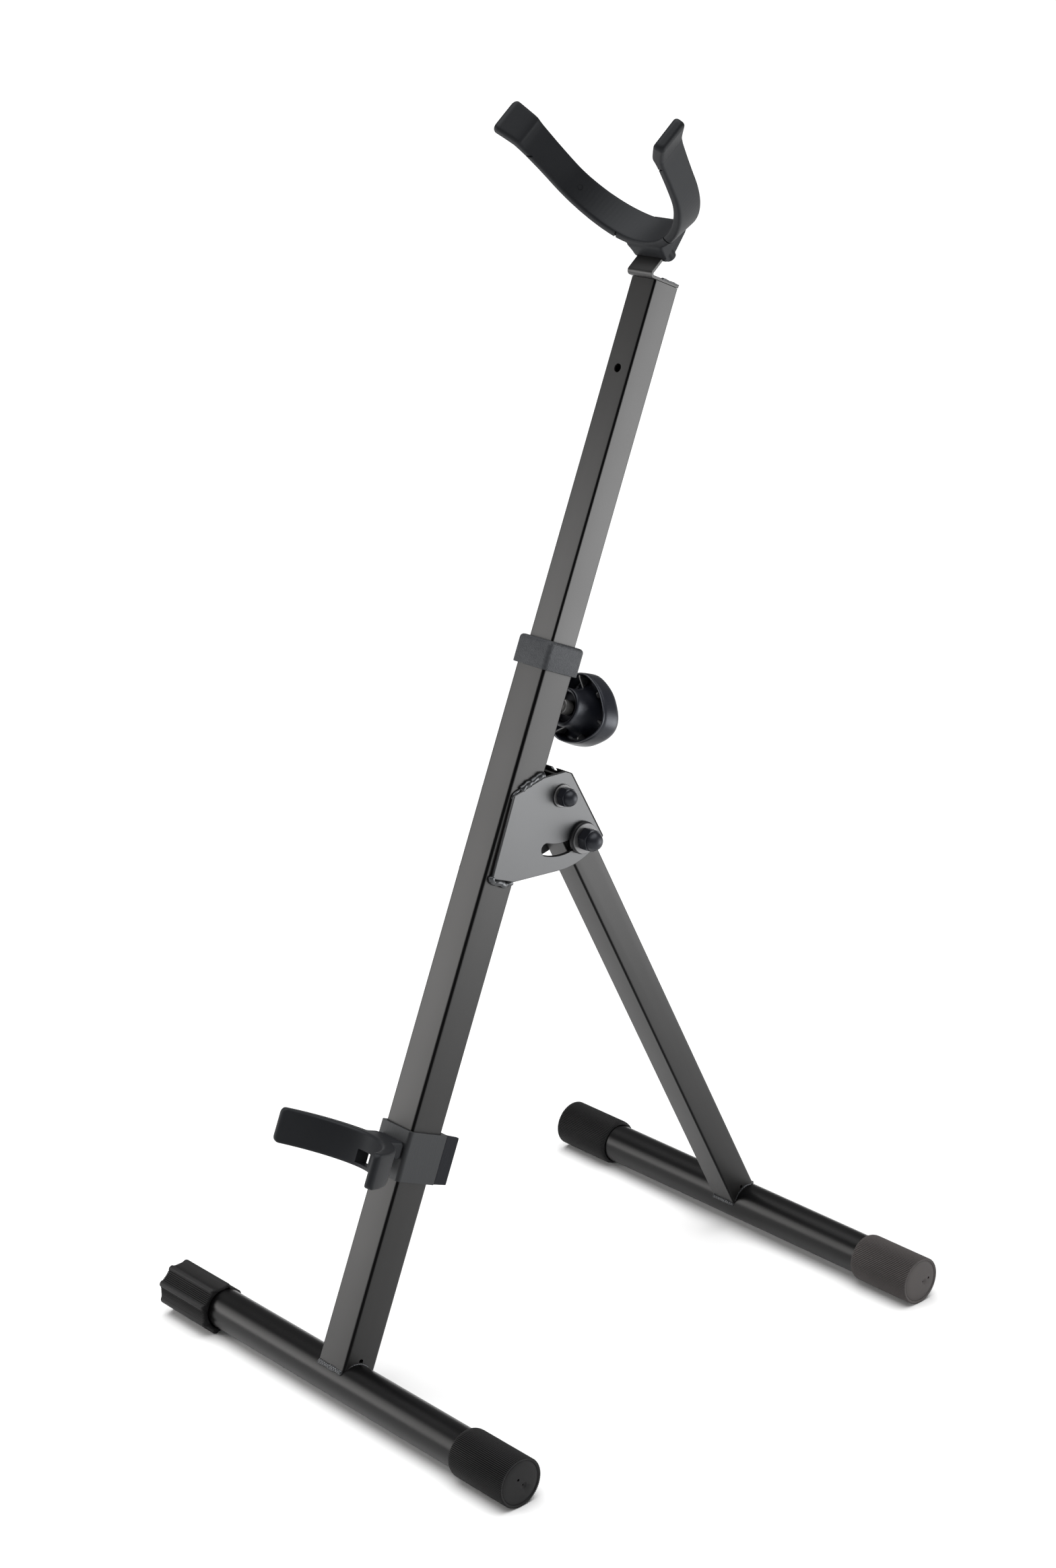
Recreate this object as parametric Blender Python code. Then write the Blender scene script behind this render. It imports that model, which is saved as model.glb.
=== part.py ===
"""A folding floor stand for a saxophone, in metres, with +Z up and the floor at Z = 0.

The upright leans back from the front foot tube. The rear leg hinges on a bracket behind the
upright. The origin is on the floor, half way between the front and the back of the stand.
"""
import math

import bmesh
import bpy
from mathutils import Matrix, Vector

# Driving dimensions
FIT_GAP = 0.0003
FOOT_SPACING = 0.4115
FOOT_TUBE_RADIUS = 0.01565
FOOT_HALF_LENGTH = 0.1989
FOOT_HEIGHT = 0.01875
CAP_LENGTH = 0.0575
CAP_WALL_END = 0.0050
TUBE_WALL = 0.0015
OUTER_CORNER = 0.0025
INNER_CORNER = 0.0020
OUTER_START = 0.0035
OUTER_SIDE = 0.0300
INNER_SIDE = 0.0250
UPRIGHT_LEAN = math.radians(23.517)
UPRIGHT_SETBACK = 0.0010

# Stations along the upright, from the front foot tube's axis
OUTER_TOP = 0.5560
COLLAR_BOTTOM = 0.5403
COLLAR_TOP = 0.5615
COLLAR_SIDE = 0.0360
COLLAR_CORNER = 0.0040
MAST_HOLE_RADIUS = 0.0033
SCREW_RADIUS = 0.0040
SCREW_BOSS = 0.0056
SCREW_END = 0.0340
HUB_RECESS = 0.0112
INNER_BOTTOM = 0.4150
INNER_TOP = 0.82975
MAST_HOLE = 0.7629
KNOB_STATION = 0.5174
SUPPORT_BOTTOM = 0.1547
SUPPORT_TOP = 0.1925

# Leg hinge, with its pivot behind the upright
PIVOT_STATION = 0.4549
PIVOT_BEHIND = 0.0349
LOCK_RADIUS = 0.0412
FOLD_ANGLE = math.radians(49.5)
CHEEK_OUTSIDE = 0.0180
SHEET = 0.0027
WEB_INSIDE = 0.0147
LEG_ABOVE_PIVOT = 0.0070

# Levelling cap: eight corners, bored off its centre
LEVEL_CORNER_RADIUS = 0.0208
LEVEL_FORWARD = 0.0031
LEVEL_LENGTH = 0.0565
LEVEL_OVERHANG = 0.0015
LEVEL_DIP = 0.0009

# Bell cradle
CRADLE_LEAN = math.radians(38.6)
CRADLE_FORWARD = 0.0147
CRADLE_STATION = 0.8636
CRADLE_HALF_WIDTH = 0.0144
CRADLE_BASE_HALF = 0.0170
TAB_HALF_WIDTH = 0.0125
TAB_SHEET = 0.0023
TAB_BELOW_THROAT = 0.0120
TAB_BEND_RADIUS = 0.0022
PIN_RADIUS = 0.0020
PIN_BOTTOM = -0.0165
PIN_TOP = -0.0085
PIN_SPOT = (0.0, -0.0080, 0.0)

# Lower support
SLEEVE_HALF = 0.0175
SLEEVE_FRONT = 0.0180
SLEEVE_BACK = 0.0187
CLIP_BACK = 0.0320
CLIP_HALF = 0.0168
CLIP_WALL = 0.0035
CLIP_PLATE = 0.0028
HUB_HALF = 0.0150
WINDOW_HALF = 0.0070
WINDOW_SILL = 0.0030
FORK_SCREW_RADIUS = 0.0019
FORK_SCREW_HEIGHT = 0.0215
FORK_BOTTOM = 0.1571
FORK_TOP = 0.1834

# The origin is half way between the levelling cap's front and the rear caps' back
FRONT_REACH = LEVEL_FORWARD + LEVEL_CORNER_RADIUS * math.cos(math.radians(22.5))
ORIGIN_BACK = (FOOT_SPACING + FOOT_HEIGHT - FRONT_REACH) / 2

for leftover in list(bpy.data.objects):
    bpy.data.objects.remove(leftover, do_unlink=True)


def paint(name, colour, roughness, metallic=0.0):
    made = bpy.data.materials.new(name)
    made.use_nodes = True
    shader = made.node_tree.nodes["Principled BSDF"]
    shader.inputs["Base Color"].default_value = (*colour, 1.0)
    shader.inputs["Roughness"].default_value = roughness
    shader.inputs["Metallic"].default_value = metallic
    return made


BLACK_PAINT = paint("satin_black_paint", (0.045, 0.043, 0.042), 0.42)
CHARCOAL = paint("charcoal_plastic", (0.060, 0.062, 0.065), 0.55)
KNOB_BLACK = paint("knob_plastic", (0.022, 0.023, 0.027), 0.35)
RUBBER = paint("cap_rubber", (0.035, 0.036, 0.037), 0.75)
SOFT_TOUCH = paint("rubberised_plastic", (0.030, 0.031, 0.034), 0.65)
NYLON = paint("black_nylon", (0.020, 0.020, 0.020), 0.50)
STEEL = paint("zinc_steel", (0.60, 0.60, 0.62), 0.30, 1.0)
DARK_STEEL = paint("black_zinc_steel", (0.050, 0.050, 0.052), 0.28, 0.8)


def frame_at(name, location, tilt=0.0, parent=None):
    """An empty whose X axis is the stand's, turned about X by tilt."""
    empty = bpy.data.objects.new(name, None)
    bpy.context.scene.collection.objects.link(empty)
    empty.parent = parent
    empty.location = location
    empty.rotation_euler = (tilt, 0.0, 0.0)
    return empty


def place(name, mesh, material, parent, location=(0.0, 0.0, 0.0)):
    """Turn a bmesh into a named object with closed, outward faces."""
    bmesh.ops.recalc_face_normals(mesh, faces=mesh.faces)
    data = bpy.data.meshes.new(name)
    mesh.to_mesh(data)
    mesh.free()
    data.materials.append(material)
    data.shade_smooth()
    data.set_sharp_from_angle(angle=math.radians(35))
    made = bpy.data.objects.new(name, data)
    bpy.context.scene.collection.objects.link(made)
    made.parent = parent
    made.location = location
    return made


def combine(target, mesh, operation, location=(0.0, 0.0, 0.0), parent=None):
    """Cut or add a shape, kept as a hidden guide beside its target."""
    guide_name = target.name + "_" + operation.lower() + str(len(target.modifiers))
    guide = place(guide_name, mesh, NYLON, parent or target.parent, location)
    guide.hide_render = True
    guide.display_type = "WIRE"
    step = target.modifiers.new(operation.lower(), "BOOLEAN")
    step.operation = operation
    step.solver = "EXACT"
    step.object = guide
    return guide


def round_edges(target, width, segments=2, angle=35):
    bevel = target.modifiers.new("rounded_edges", "BEVEL")
    bevel.width = width
    bevel.segments = segments
    bevel.limit_method = "ANGLE"
    bevel.angle_limit = math.radians(angle)


def corner(along, across, distance):
    """A point of an outline that lies across one axis, for X, Y or Z."""
    return {"X": (distance, across[0], across[1]),
            "Y": (across[0], distance, across[1]),
            "Z": (across[0], across[1], distance)}[along]


def prism(outline, low, high, along="Z"):
    mesh = bmesh.new()
    rings = []
    for distance in (low, high):
        rings.append([mesh.verts.new(corner(along, point, distance)) for point in outline])
    count = len(outline)
    for k in range(count):
        after = (k + 1) % count
        mesh.faces.new((rings[0][k], rings[0][after], rings[1][after], rings[1][k]))
    mesh.faces.new(rings[0])
    mesh.faces.new(rings[1])
    return mesh


def hollow_prism(outside, inside, low, high, along="Z"):
    """A tube between two outlines with the same number of points."""
    mesh = bmesh.new()
    rings = []
    for outline, distance in ((outside, low), (outside, high), (inside, high), (inside, low)):
        rings.append([mesh.verts.new(corner(along, point, distance)) for point in outline])
    count = len(outside)
    for near, far in zip(rings, rings[1:] + rings[:1]):
        for k in range(count):
            after = (k + 1) % count
            mesh.faces.new((near[k], near[after], far[after], far[k]))
    return mesh


def turned(profile, segments=32, along="Z", phase=0.0):
    """Turn (radius, distance) points about an axis; a radius of 0 closes on the axis."""
    mesh = bmesh.new()
    rings = []
    for radius, distance in profile:
        if radius == 0:
            rings.append([mesh.verts.new(corner(along, (0.0, 0.0), distance))])
            continue
        ring = []
        for k in range(segments):
            angle = phase + 2 * math.pi * k / segments
            point = (radius * math.cos(angle), radius * math.sin(angle))
            ring.append(mesh.verts.new(corner(along, point, distance)))
        rings.append(ring)
    closed = profile[0][0] > 0
    pairs = list(zip(rings, rings[1:] + rings[:1])) if closed else list(zip(rings, rings[1:]))
    for near, far in pairs:
        for k in range(segments):
            after = (k + 1) % segments
            quad = [near[k % len(near)], near[after % len(near)],
                    far[after % len(far)], far[k % len(far)]]
            mesh.faces.new(list(dict.fromkeys(quad)))
    return mesh


def circle(radius, segments=24, phase=0.0):
    turn = 2 * math.pi / segments
    return [(radius * math.cos(phase + turn * k), radius * math.sin(phase + turn * k))
            for k in range(segments)]


def rounded_square(side, radius, steps=3):
    """A square outline, centred, with arcs at its corners."""
    half = side / 2 - radius
    points = []
    for quarter, (sx, sy) in enumerate(((1, 1), (-1, 1), (-1, -1), (1, -1))):
        for k in range(steps + 1):
            angle = (quarter + k / steps) * math.pi / 2
            points.append((sx * half + radius * math.cos(angle), sy * half + radius * math.sin(angle)))
    return points


def rectangle(x_low, x_high, y_low, y_high):
    return [(x_low, y_low), (x_high, y_low), (x_high, y_high), (x_low, y_high)]


def curve_between(start, leave, arrive, end, steps):
    """A cubic curve through two points, with a handle at each."""
    points = []
    for k in range(steps + 1):
        t = k / steps
        weights = ((1 - t) ** 3, 3 * t * (1 - t) ** 2, 3 * t * t * (1 - t), t ** 3)
        points.append(tuple(sum(w * p[axis] for w, p in zip(weights, (start, leave, arrive, end)))
                            for axis in (0, 1)))
    return points


def arc(centre, radius, start_degrees, end_degrees, steps):
    points = []
    for k in range(steps + 1):
        angle = math.radians(start_degrees + (end_degrees - start_degrees) * k / steps)
        points.append((centre[0] + radius * math.cos(angle), centre[1] + radius * math.sin(angle)))
    return points


def thickened(path, half_thicknesses, rounded=True):
    """An outline round a path, with its own half thickness at each point."""
    left, right = [], []
    for k, point in enumerate(path):
        before = Vector(path[max(k - 1, 0)])
        after = Vector(path[min(k + 1, len(path) - 1)])
        direction = (after - before).normalized()
        side = Vector((-direction.y, direction.x)) * half_thicknesses[k]
        left.append(tuple(Vector(point) + side))
        right.append(tuple(Vector(point) - side))
    if not rounded:
        return left + right[::-1]
    last = math.degrees(math.atan2(path[-1][1] - path[-2][1], path[-1][0] - path[-2][0]))
    first = math.degrees(math.atan2(path[0][1] - path[1][1], path[0][0] - path[1][0]))
    far_end = arc(path[-1], half_thicknesses[-1], last + 90, last - 90, 6)
    near_end = arc(path[0], half_thicknesses[0], first + 90, first - 90, 6)
    return left[:-1] + far_end + right[-2:0:-1] + near_end


def mirrored_path(half_path):
    """A path on +X, from the middle out, completed with its mirror image."""
    return [(-x, y) for x, y in half_path[:0:-1]] + half_path


def hexagon(across_flats):
    return circle(across_flats / 2 / math.cos(math.radians(30)), 6)


# Frames. Along the upright, local Z runs up the tube and local Y points backwards.
foot_front = frame_at("foot_front", (0.0, -ORIGIN_BACK, FOOT_HEIGHT))
upright = frame_at("upright_frame", (0.0, UPRIGHT_SETBACK, 0.0), -UPRIGHT_LEAN, foot_front)
levelling = frame_at("levelling_axis", (0.0, 0.0, 0.0), 0.0, foot_front)
mast = frame_at("mast_slide", (0.0, 0.0, COLLAR_TOP), 0.0, upright)
support = frame_at("support_slide", (0.0, 0.0, SUPPORT_BOTTOM), 0.0, upright)
clamp = frame_at("clamp_axis", (0.0, OUTER_SIDE / 2, KNOB_STATION), 0.0, upright)

pivot_y = (UPRIGHT_SETBACK + PIVOT_STATION * math.sin(UPRIGHT_LEAN)
           + PIVOT_BEHIND * math.cos(UPRIGHT_LEAN))
pivot_z = PIVOT_STATION * math.cos(UPRIGHT_LEAN) - PIVOT_BEHIND * math.sin(UPRIGHT_LEAN)
LEG_LENGTH = math.hypot(FOOT_SPACING - pivot_y, pivot_z)
LEG_LEAN = math.atan2(FOOT_SPACING - pivot_y, pivot_z)
leg = frame_at("leg_pivot", (0.0, pivot_y, pivot_z), LEG_LEAN, foot_front)
rear_foot = frame_at("rear_foot", (0.0, 0.0, -LEG_LENGTH), -LEG_LEAN, leg)
cradle = frame_at("cradle_frame", (0.0, -CRADLE_FORWARD, CRADLE_STATION - COLLAR_TOP),
                  UPRIGHT_LEAN + CRADLE_LEAN, mast)


def make_foot_tubes():
    half = FOOT_HALF_LENGTH - CAP_WALL_END - FIT_GAP
    for name, parent in (("front_foot_tube", foot_front), ("rear_foot_tube", rear_foot)):
        outside = circle(FOOT_TUBE_RADIUS, 40)
        inside = circle(FOOT_TUBE_RADIUS - TUBE_WALL, 40)
        place(name, hollow_prism(outside, inside, -half, half, "X"), BLACK_PAINT, parent)


def make_foot_caps():
    """Round caps, each with a flat land along its lowest line."""
    segments = 40
    half_step = math.pi / segments
    flat_radius = FOOT_HEIGHT / math.cos(half_step)
    bore = (FOOT_TUBE_RADIUS + FIT_GAP) / math.cos(half_step)
    edge = 0.0020
    for name, parent, side in (("front_right_cap", foot_front, 1), ("rear_right_cap", rear_foot, 1),
                               ("rear_left_cap", rear_foot, -1)):
        mouth = FOOT_HALF_LENGTH - CAP_LENGTH
        profile = [(0.0, FOOT_HALF_LENGTH), (flat_radius - edge, FOOT_HALF_LENGTH),
                   (flat_radius, FOOT_HALF_LENGTH - edge / 2), (flat_radius, mouth + edge),
                   (flat_radius - edge, mouth), (bore, mouth),
                   (bore, FOOT_HALF_LENGTH - CAP_WALL_END), (0.0, FOOT_HALF_LENGTH - CAP_WALL_END)]
        shape = turned([(r, side * x) for r, x in profile], segments, "X", half_step)
        place(name, shape, RUBBER, parent)


def make_levelling_cap():
    """Eight rounded corners with hollow facets, round a bore that is off the centre."""
    outline = []
    flat_distance = LEVEL_CORNER_RADIUS * math.cos(math.radians(22.5))
    for facet in range(8):
        for offset in (-22.5, -19.0, -14.0, -7.0, 0.0, 7.0, 14.0, 19.0):
            reach = flat_distance / math.cos(math.radians(offset))
            dip = LEVEL_DIP * math.cos(math.radians(offset * 4)) ** 2 if abs(offset) < 19 else 0.0
            angle = math.radians(facet * 45.0 + offset)
            outline.append(((reach - dip) * math.cos(angle), (reach - dip) * math.sin(angle)))
    rise = flat_distance - FOOT_HEIGHT
    centred = [(y - LEVEL_FORWARD, z + rise) for y, z in outline]
    outer_end = -FOOT_HALF_LENGTH - LEVEL_OVERHANG
    cap = place("levelling_cap", prism(centred, outer_end, outer_end + LEVEL_LENGTH, "X"),
                RUBBER, levelling)
    bore = circle((FOOT_TUBE_RADIUS + FIT_GAP) / math.cos(math.pi / 40), 40)
    combine(cap, prism(bore, outer_end + CAP_WALL_END, -0.100, "X"), "DIFFERENCE")


def make_outer_tube():
    outside = rounded_square(OUTER_SIDE, OUTER_CORNER)
    inside = rounded_square(OUTER_SIDE - 2 * TUBE_WALL, OUTER_CORNER - TUBE_WALL)
    tube = place("outer_tube", hollow_prism(outside, inside, OUTER_START, OUTER_TOP), BLACK_PAINT, upright)
    saddle = circle((FOOT_TUBE_RADIUS + FIT_GAP) / math.cos(math.pi / 40), 40)
    combine(tube, prism(saddle, -0.030, 0.030, "X"), "DIFFERENCE", (0.0, 0.0, 0.0), foot_front)
    screw_hole = prism(circle(SCREW_RADIUS + FIT_GAP), 0.010, 0.020, "Y")
    combine(tube, screw_hole, "DIFFERENCE", (0.0, 0.0, KNOB_STATION))


def make_height_collar():
    outside = rounded_square(COLLAR_SIDE, COLLAR_CORNER)
    body = prism(outside, COLLAR_BOTTOM, COLLAR_TOP)
    collar = place("height_collar", body, CHARCOAL, upright)
    round_edges(collar, 0.0014, 2, 60)
    fit = rounded_square(OUTER_SIDE + 2 * FIT_GAP, OUTER_CORNER + FIT_GAP)
    combine(collar, prism(fit, COLLAR_BOTTOM - 0.010, OUTER_TOP + FIT_GAP), "DIFFERENCE")
    mouth = rounded_square(INNER_SIDE + 2 * FIT_GAP, INNER_CORNER + FIT_GAP)
    combine(collar, prism(mouth, OUTER_TOP - 0.005, COLLAR_TOP + 0.010), "DIFFERENCE")


def make_hinge_bracket():
    """A folded sheet channel: two cheeks beside the upright and a web behind the leg."""
    pivot = (PIVOT_BEHIND, PIVOT_STATION)
    outline = [(-0.0098, 0.3847), (-0.0113, 0.4468), (-0.0063, 0.4506), (0.0121, 0.4645),
               (0.0321, 0.4727), (0.0403, 0.4726), (0.0894, 0.4331)]
    outline += arc(pivot, 0.0578, -28.0, -68.0, 8)
    outline += [(0.0118, 0.3854)]
    shape = prism(outline, -CHEEK_OUTSIDE, CHEEK_OUTSIDE, "X")
    bracket = place("hinge_bracket", shape, BLACK_PAINT, upright)
    inside = CHEEK_OUTSIDE - SHEET
    channel = rectangle(-0.140, WEB_INSIDE, -0.130, 0.080)
    combine(bracket, prism(channel, -inside, inside, "X"), "DIFFERENCE", (0, 0, 0), leg)
    hole = prism(circle(0.0034, 16), -0.030, 0.030, "X")
    combine(bracket, hole, "DIFFERENCE", (0, 0, 0), leg)
    start = math.degrees(-FOLD_ANGLE) - 90.0
    slot = thickened(arc((0.0, 0.0), LOCK_RADIUS, start - 0.3, -90.0 + 0.3, 14), [0.0045] * 15)
    combine(bracket, prism(slot, -0.030, 0.030, "X"), "DIFFERENCE", (0, 0, 0), leg)


def make_clamp():
    """The nut on the tube, the shoe, and the knob with its screw, along local +Y."""
    hole = SCREW_RADIUS + FIT_GAP
    nut = turned([(0.0070, FIT_GAP), (0.0070, 0.0060), (hole, 0.0060), (hole, FIT_GAP)], 24, "Y")
    place("clamp_nut", nut, STEEL, clamp)
    pad = SCREW_RADIUS - 0.0002
    shoe = turned([(0.0, -0.0022), (pad, -0.0022), (pad, 0.0), (0.0, 0.0)], 20, "Y")
    place("clamp_shoe", shoe, NYLON, clamp)
    screw = turned([(0.0, FIT_GAP), (SCREW_RADIUS, FIT_GAP), (SCREW_RADIUS, 0.0105),
                    (SCREW_BOSS, 0.0115), (SCREW_BOSS, 0.0190), (SCREW_RADIUS, 0.0194),
                    (SCREW_RADIUS, SCREW_END), (0.0, SCREW_END)], 24, "Y")
    place("clamp_screw", screw, STEEL, clamp)


def knob_ring(mesh, distance, mean_radius, lobe):
    """One three-lobed ring of the knob, with a lobe at +X."""
    count = 48
    ring = []
    for k in range(count):
        angle = 2 * math.pi * k / count
        radius = mean_radius + lobe * (math.cos(3 * angle) + 0.18 * math.cos(6 * angle))
        point = (radius * math.cos(angle), radius * math.sin(angle))
        ring.append(mesh.verts.new(corner("Y", point, distance)))
    return ring


def make_clamp_knob():
    """A hollow three-lobed cap round a hub that flares into it."""
    mesh = bmesh.new()
    stations = ((0.0145, 0.0132, 0.0), (0.0136, 0.0143, 0.0), (0.0230, 0.0148, 0.0),
                (0.0330, 0.0165, 0.0), (0.0400, 0.0200, 0.0), (0.0400, 0.0225, 0.0020),
                (0.0290, 0.0238, 0.0024), (0.0290, 0.0259, 0.0025), (0.0420, 0.0265, 0.0026),
                (0.0452, 0.0252, 0.0025), (0.0472, 0.0225, 0.0020), (0.0480, 0.0150, 0.0010))
    rings = [knob_ring(mesh, *station) for station in stations]
    count = len(rings[0])
    for near, far in zip(rings, rings[1:]):
        for k in range(count):
            after = (k + 1) % count
            mesh.faces.new((near[k], near[after], far[after], far[k]))
    mesh.faces.new(rings[0])
    mesh.faces.new(rings[-1])
    knob = place("clamp_knob", mesh, KNOB_BLACK, clamp)
    bore = SCREW_RADIUS + FIT_GAP
    recess = [(0.0, 0.0100), (HUB_RECESS, 0.0100), (HUB_RECESS, 0.0200), (bore, 0.0200),
              (bore, SCREW_END + FIT_GAP), (0.0, SCREW_END + FIT_GAP)]
    combine(knob, turned(recess, 24, "Y"), "DIFFERENCE")


def make_inner_tube():
    outside = rounded_square(INNER_SIDE, INNER_CORNER)
    inside = rounded_square(INNER_SIDE - 2 * TUBE_WALL, INNER_CORNER - TUBE_WALL)
    low, high = INNER_BOTTOM - COLLAR_TOP, INNER_TOP - COLLAR_TOP
    tube = place("inner_tube", hollow_prism(outside, inside, low, high), BLACK_PAINT, mast)
    hole = prism(circle(MAST_HOLE_RADIUS, 16), -0.020, 0.0, "Y")
    combine(tube, hole, "DIFFERENCE", (0.0, 0.0, MAST_HOLE - COLLAR_TOP))


def make_mast_glide():
    """A plug in the inner tube's lower end, with a flange that runs in the outer tube."""
    plug = INNER_SIDE / 2 - TUBE_WALL - FIT_GAP
    flange = OUTER_SIDE / 2 - TUBE_WALL - FIT_GAP
    low = INNER_BOTTOM - COLLAR_TOP - FIT_GAP
    body = prism(rounded_square(2 * flange, 0.0010), low - 0.0040, low)
    glide = place("mast_glide", body, NYLON, mast)
    combine(glide, prism(rounded_square(2 * plug, 0.0008), low - 0.0020, low + 0.0160), "UNION")


def make_cradle_tab():
    """A steel strip along the top of the inner tube, folded back up into the cradle."""
    flange_height = INNER_TOP - COLLAR_TOP + FIT_GAP + TAB_SHEET / 2
    rise_angle = math.pi / 2 - UPRIGHT_LEAN - CRADLE_LEAN
    up_y, up_z = math.sin(rise_angle), math.cos(rise_angle)
    throat = (-CRADLE_FORWARD, CRADLE_STATION - COLLAR_TOP)
    on_line = (throat[0] + up_z * TAB_BELOW_THROAT, throat[1] - up_y * TAB_BELOW_THROAT)
    drop = (on_line[1] - flange_height) / up_z
    fold = (on_line[0] - up_y * drop, flange_height)
    turn = math.pi / 2 + rise_angle
    run_in = TAB_BEND_RADIUS * math.tan(turn / 2)
    centre = (fold[0] + run_in, fold[1] + TAB_BEND_RADIUS)
    bend = arc(centre, TAB_BEND_RADIUS, -90.0, -90.0 - math.degrees(turn), 8)
    end = (on_line[0] - up_y * 0.0015, on_line[1] - up_z * 0.0015)
    path = [(INNER_SIDE / 2 - 0.0004, flange_height)] + bend + [end]
    outline = thickened(path, [TAB_SHEET / 2] * len(path), rounded=False)
    tab = place("cradle_tab", prism(outline, -TAB_HALF_WIDTH, TAB_HALF_WIDTH, "X"), BLACK_PAINT, mast)
    hole = prism(circle(PIN_RADIUS + FIT_GAP, 16), -0.020, 0.0, "Z")
    combine(tab, hole, "DIFFERENCE", PIN_SPOT, cradle)


def cradle_path():
    """Half of the cradle's middle line: round bottom, straight arm, turned-out lip."""
    throat = (0.0, -0.00325)
    arm_start = (0.0611, 0.0491)
    lip_start = (0.0727, 0.0900)
    tip = (0.0815, 0.1010)
    bottom = curve_between(throat, (0.0290, -0.00325), (0.0541, 0.0246), arm_start, 12)
    return bottom + [(0.0668, 0.0695), (0.0718, 0.0870), (0.0738, 0.0918)] + [tip], lip_start


def make_bell_cradle():
    half_path, lip_start = cradle_path()
    path = mirrored_path(half_path)
    halves = [0.0040 if z > lip_start[1] else 0.0033 + 0.0006 * max(0.0, 1.0 - z / 0.040)
              for _, z in path]
    outline = thickened(path, halves)
    shape = prism(outline, -CRADLE_HALF_WIDTH, CRADLE_HALF_WIDTH, "Y")
    for vertex in shape.verts:
        height = vertex.co.z
        waist = max(0.0, 1.0 - ((height - 0.053) / 0.052) ** 2)
        vertex.co.y += waist * (0.0030 if vertex.co.y < 0 else -0.0019)
        vertex.co.z -= vertex.co.y * 0.20 * max(0.0, 1.0 - max(height, 0.0) / 0.050)
    band = place("bell_cradle", shape, SOFT_TOUCH, cradle)
    round_edges(band, 0.0015, 2, 50)
    side = [(-0.0150, -0.0010), (-0.0150, -0.0120)]
    side += arc((-0.0100, -0.0120), 0.0050, 190.0, 290.0, 5)
    side += [(0.0114, -0.0120), (0.0180, -0.0095), (0.0180, -0.0050), (0.0100, -0.0040)]
    base = combine(band, prism(side, -CRADLE_BASE_HALF, CRADLE_BASE_HALF, "X"), "UNION")
    round_edges(base, 0.0020, 2, 70)
    low = -TAB_BELOW_THROAT - TAB_SHEET / 2 - FIT_GAP
    high = -TAB_BELOW_THROAT + TAB_SHEET / 2 + FIT_GAP
    slot = rectangle(-0.0300, -0.0010, low, high)
    half = TAB_HALF_WIDTH + FIT_GAP
    combine(band, prism(slot, -half, half, "X"), "DIFFERENCE")
    hole = prism(circle(PIN_RADIUS + FIT_GAP, 16), -0.0300, PIN_TOP + FIT_GAP, "Z")
    combine(band, hole, "DIFFERENCE", PIN_SPOT)


def make_cradle_pin():
    pin = turned([(0.0, PIN_BOTTOM), (PIN_RADIUS, PIN_BOTTOM), (PIN_RADIUS, PIN_TOP), (0.0, PIN_TOP)], 16)
    place("cradle_pin", pin, STEEL, cradle, PIN_SPOT)


def make_rear_leg():
    outside = rounded_square(INNER_SIDE, INNER_CORNER)
    inside = rounded_square(INNER_SIDE - 2 * TUBE_WALL, INNER_CORNER - TUBE_WALL)
    tube = place("rear_leg_tube", hollow_prism(outside, inside, -LEG_LENGTH - 0.004, LEG_ABOVE_PIVOT),
                 BLACK_PAINT, leg)
    saddle = circle((FOOT_TUBE_RADIUS + FIT_GAP) / math.cos(math.pi / 40), 40)
    combine(tube, prism(saddle, -0.030, 0.030, "X"), "DIFFERENCE", (0.0, 0.0, 0.0), rear_foot)
    for height, radius in ((0.0, 0.0048), (-LOCK_RADIUS, 0.0063)):
        hole = prism(circle(radius, 20), -0.020, 0.020, "X")
        combine(tube, hole, "DIFFERENCE", (0.0, 0.0, height))


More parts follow.
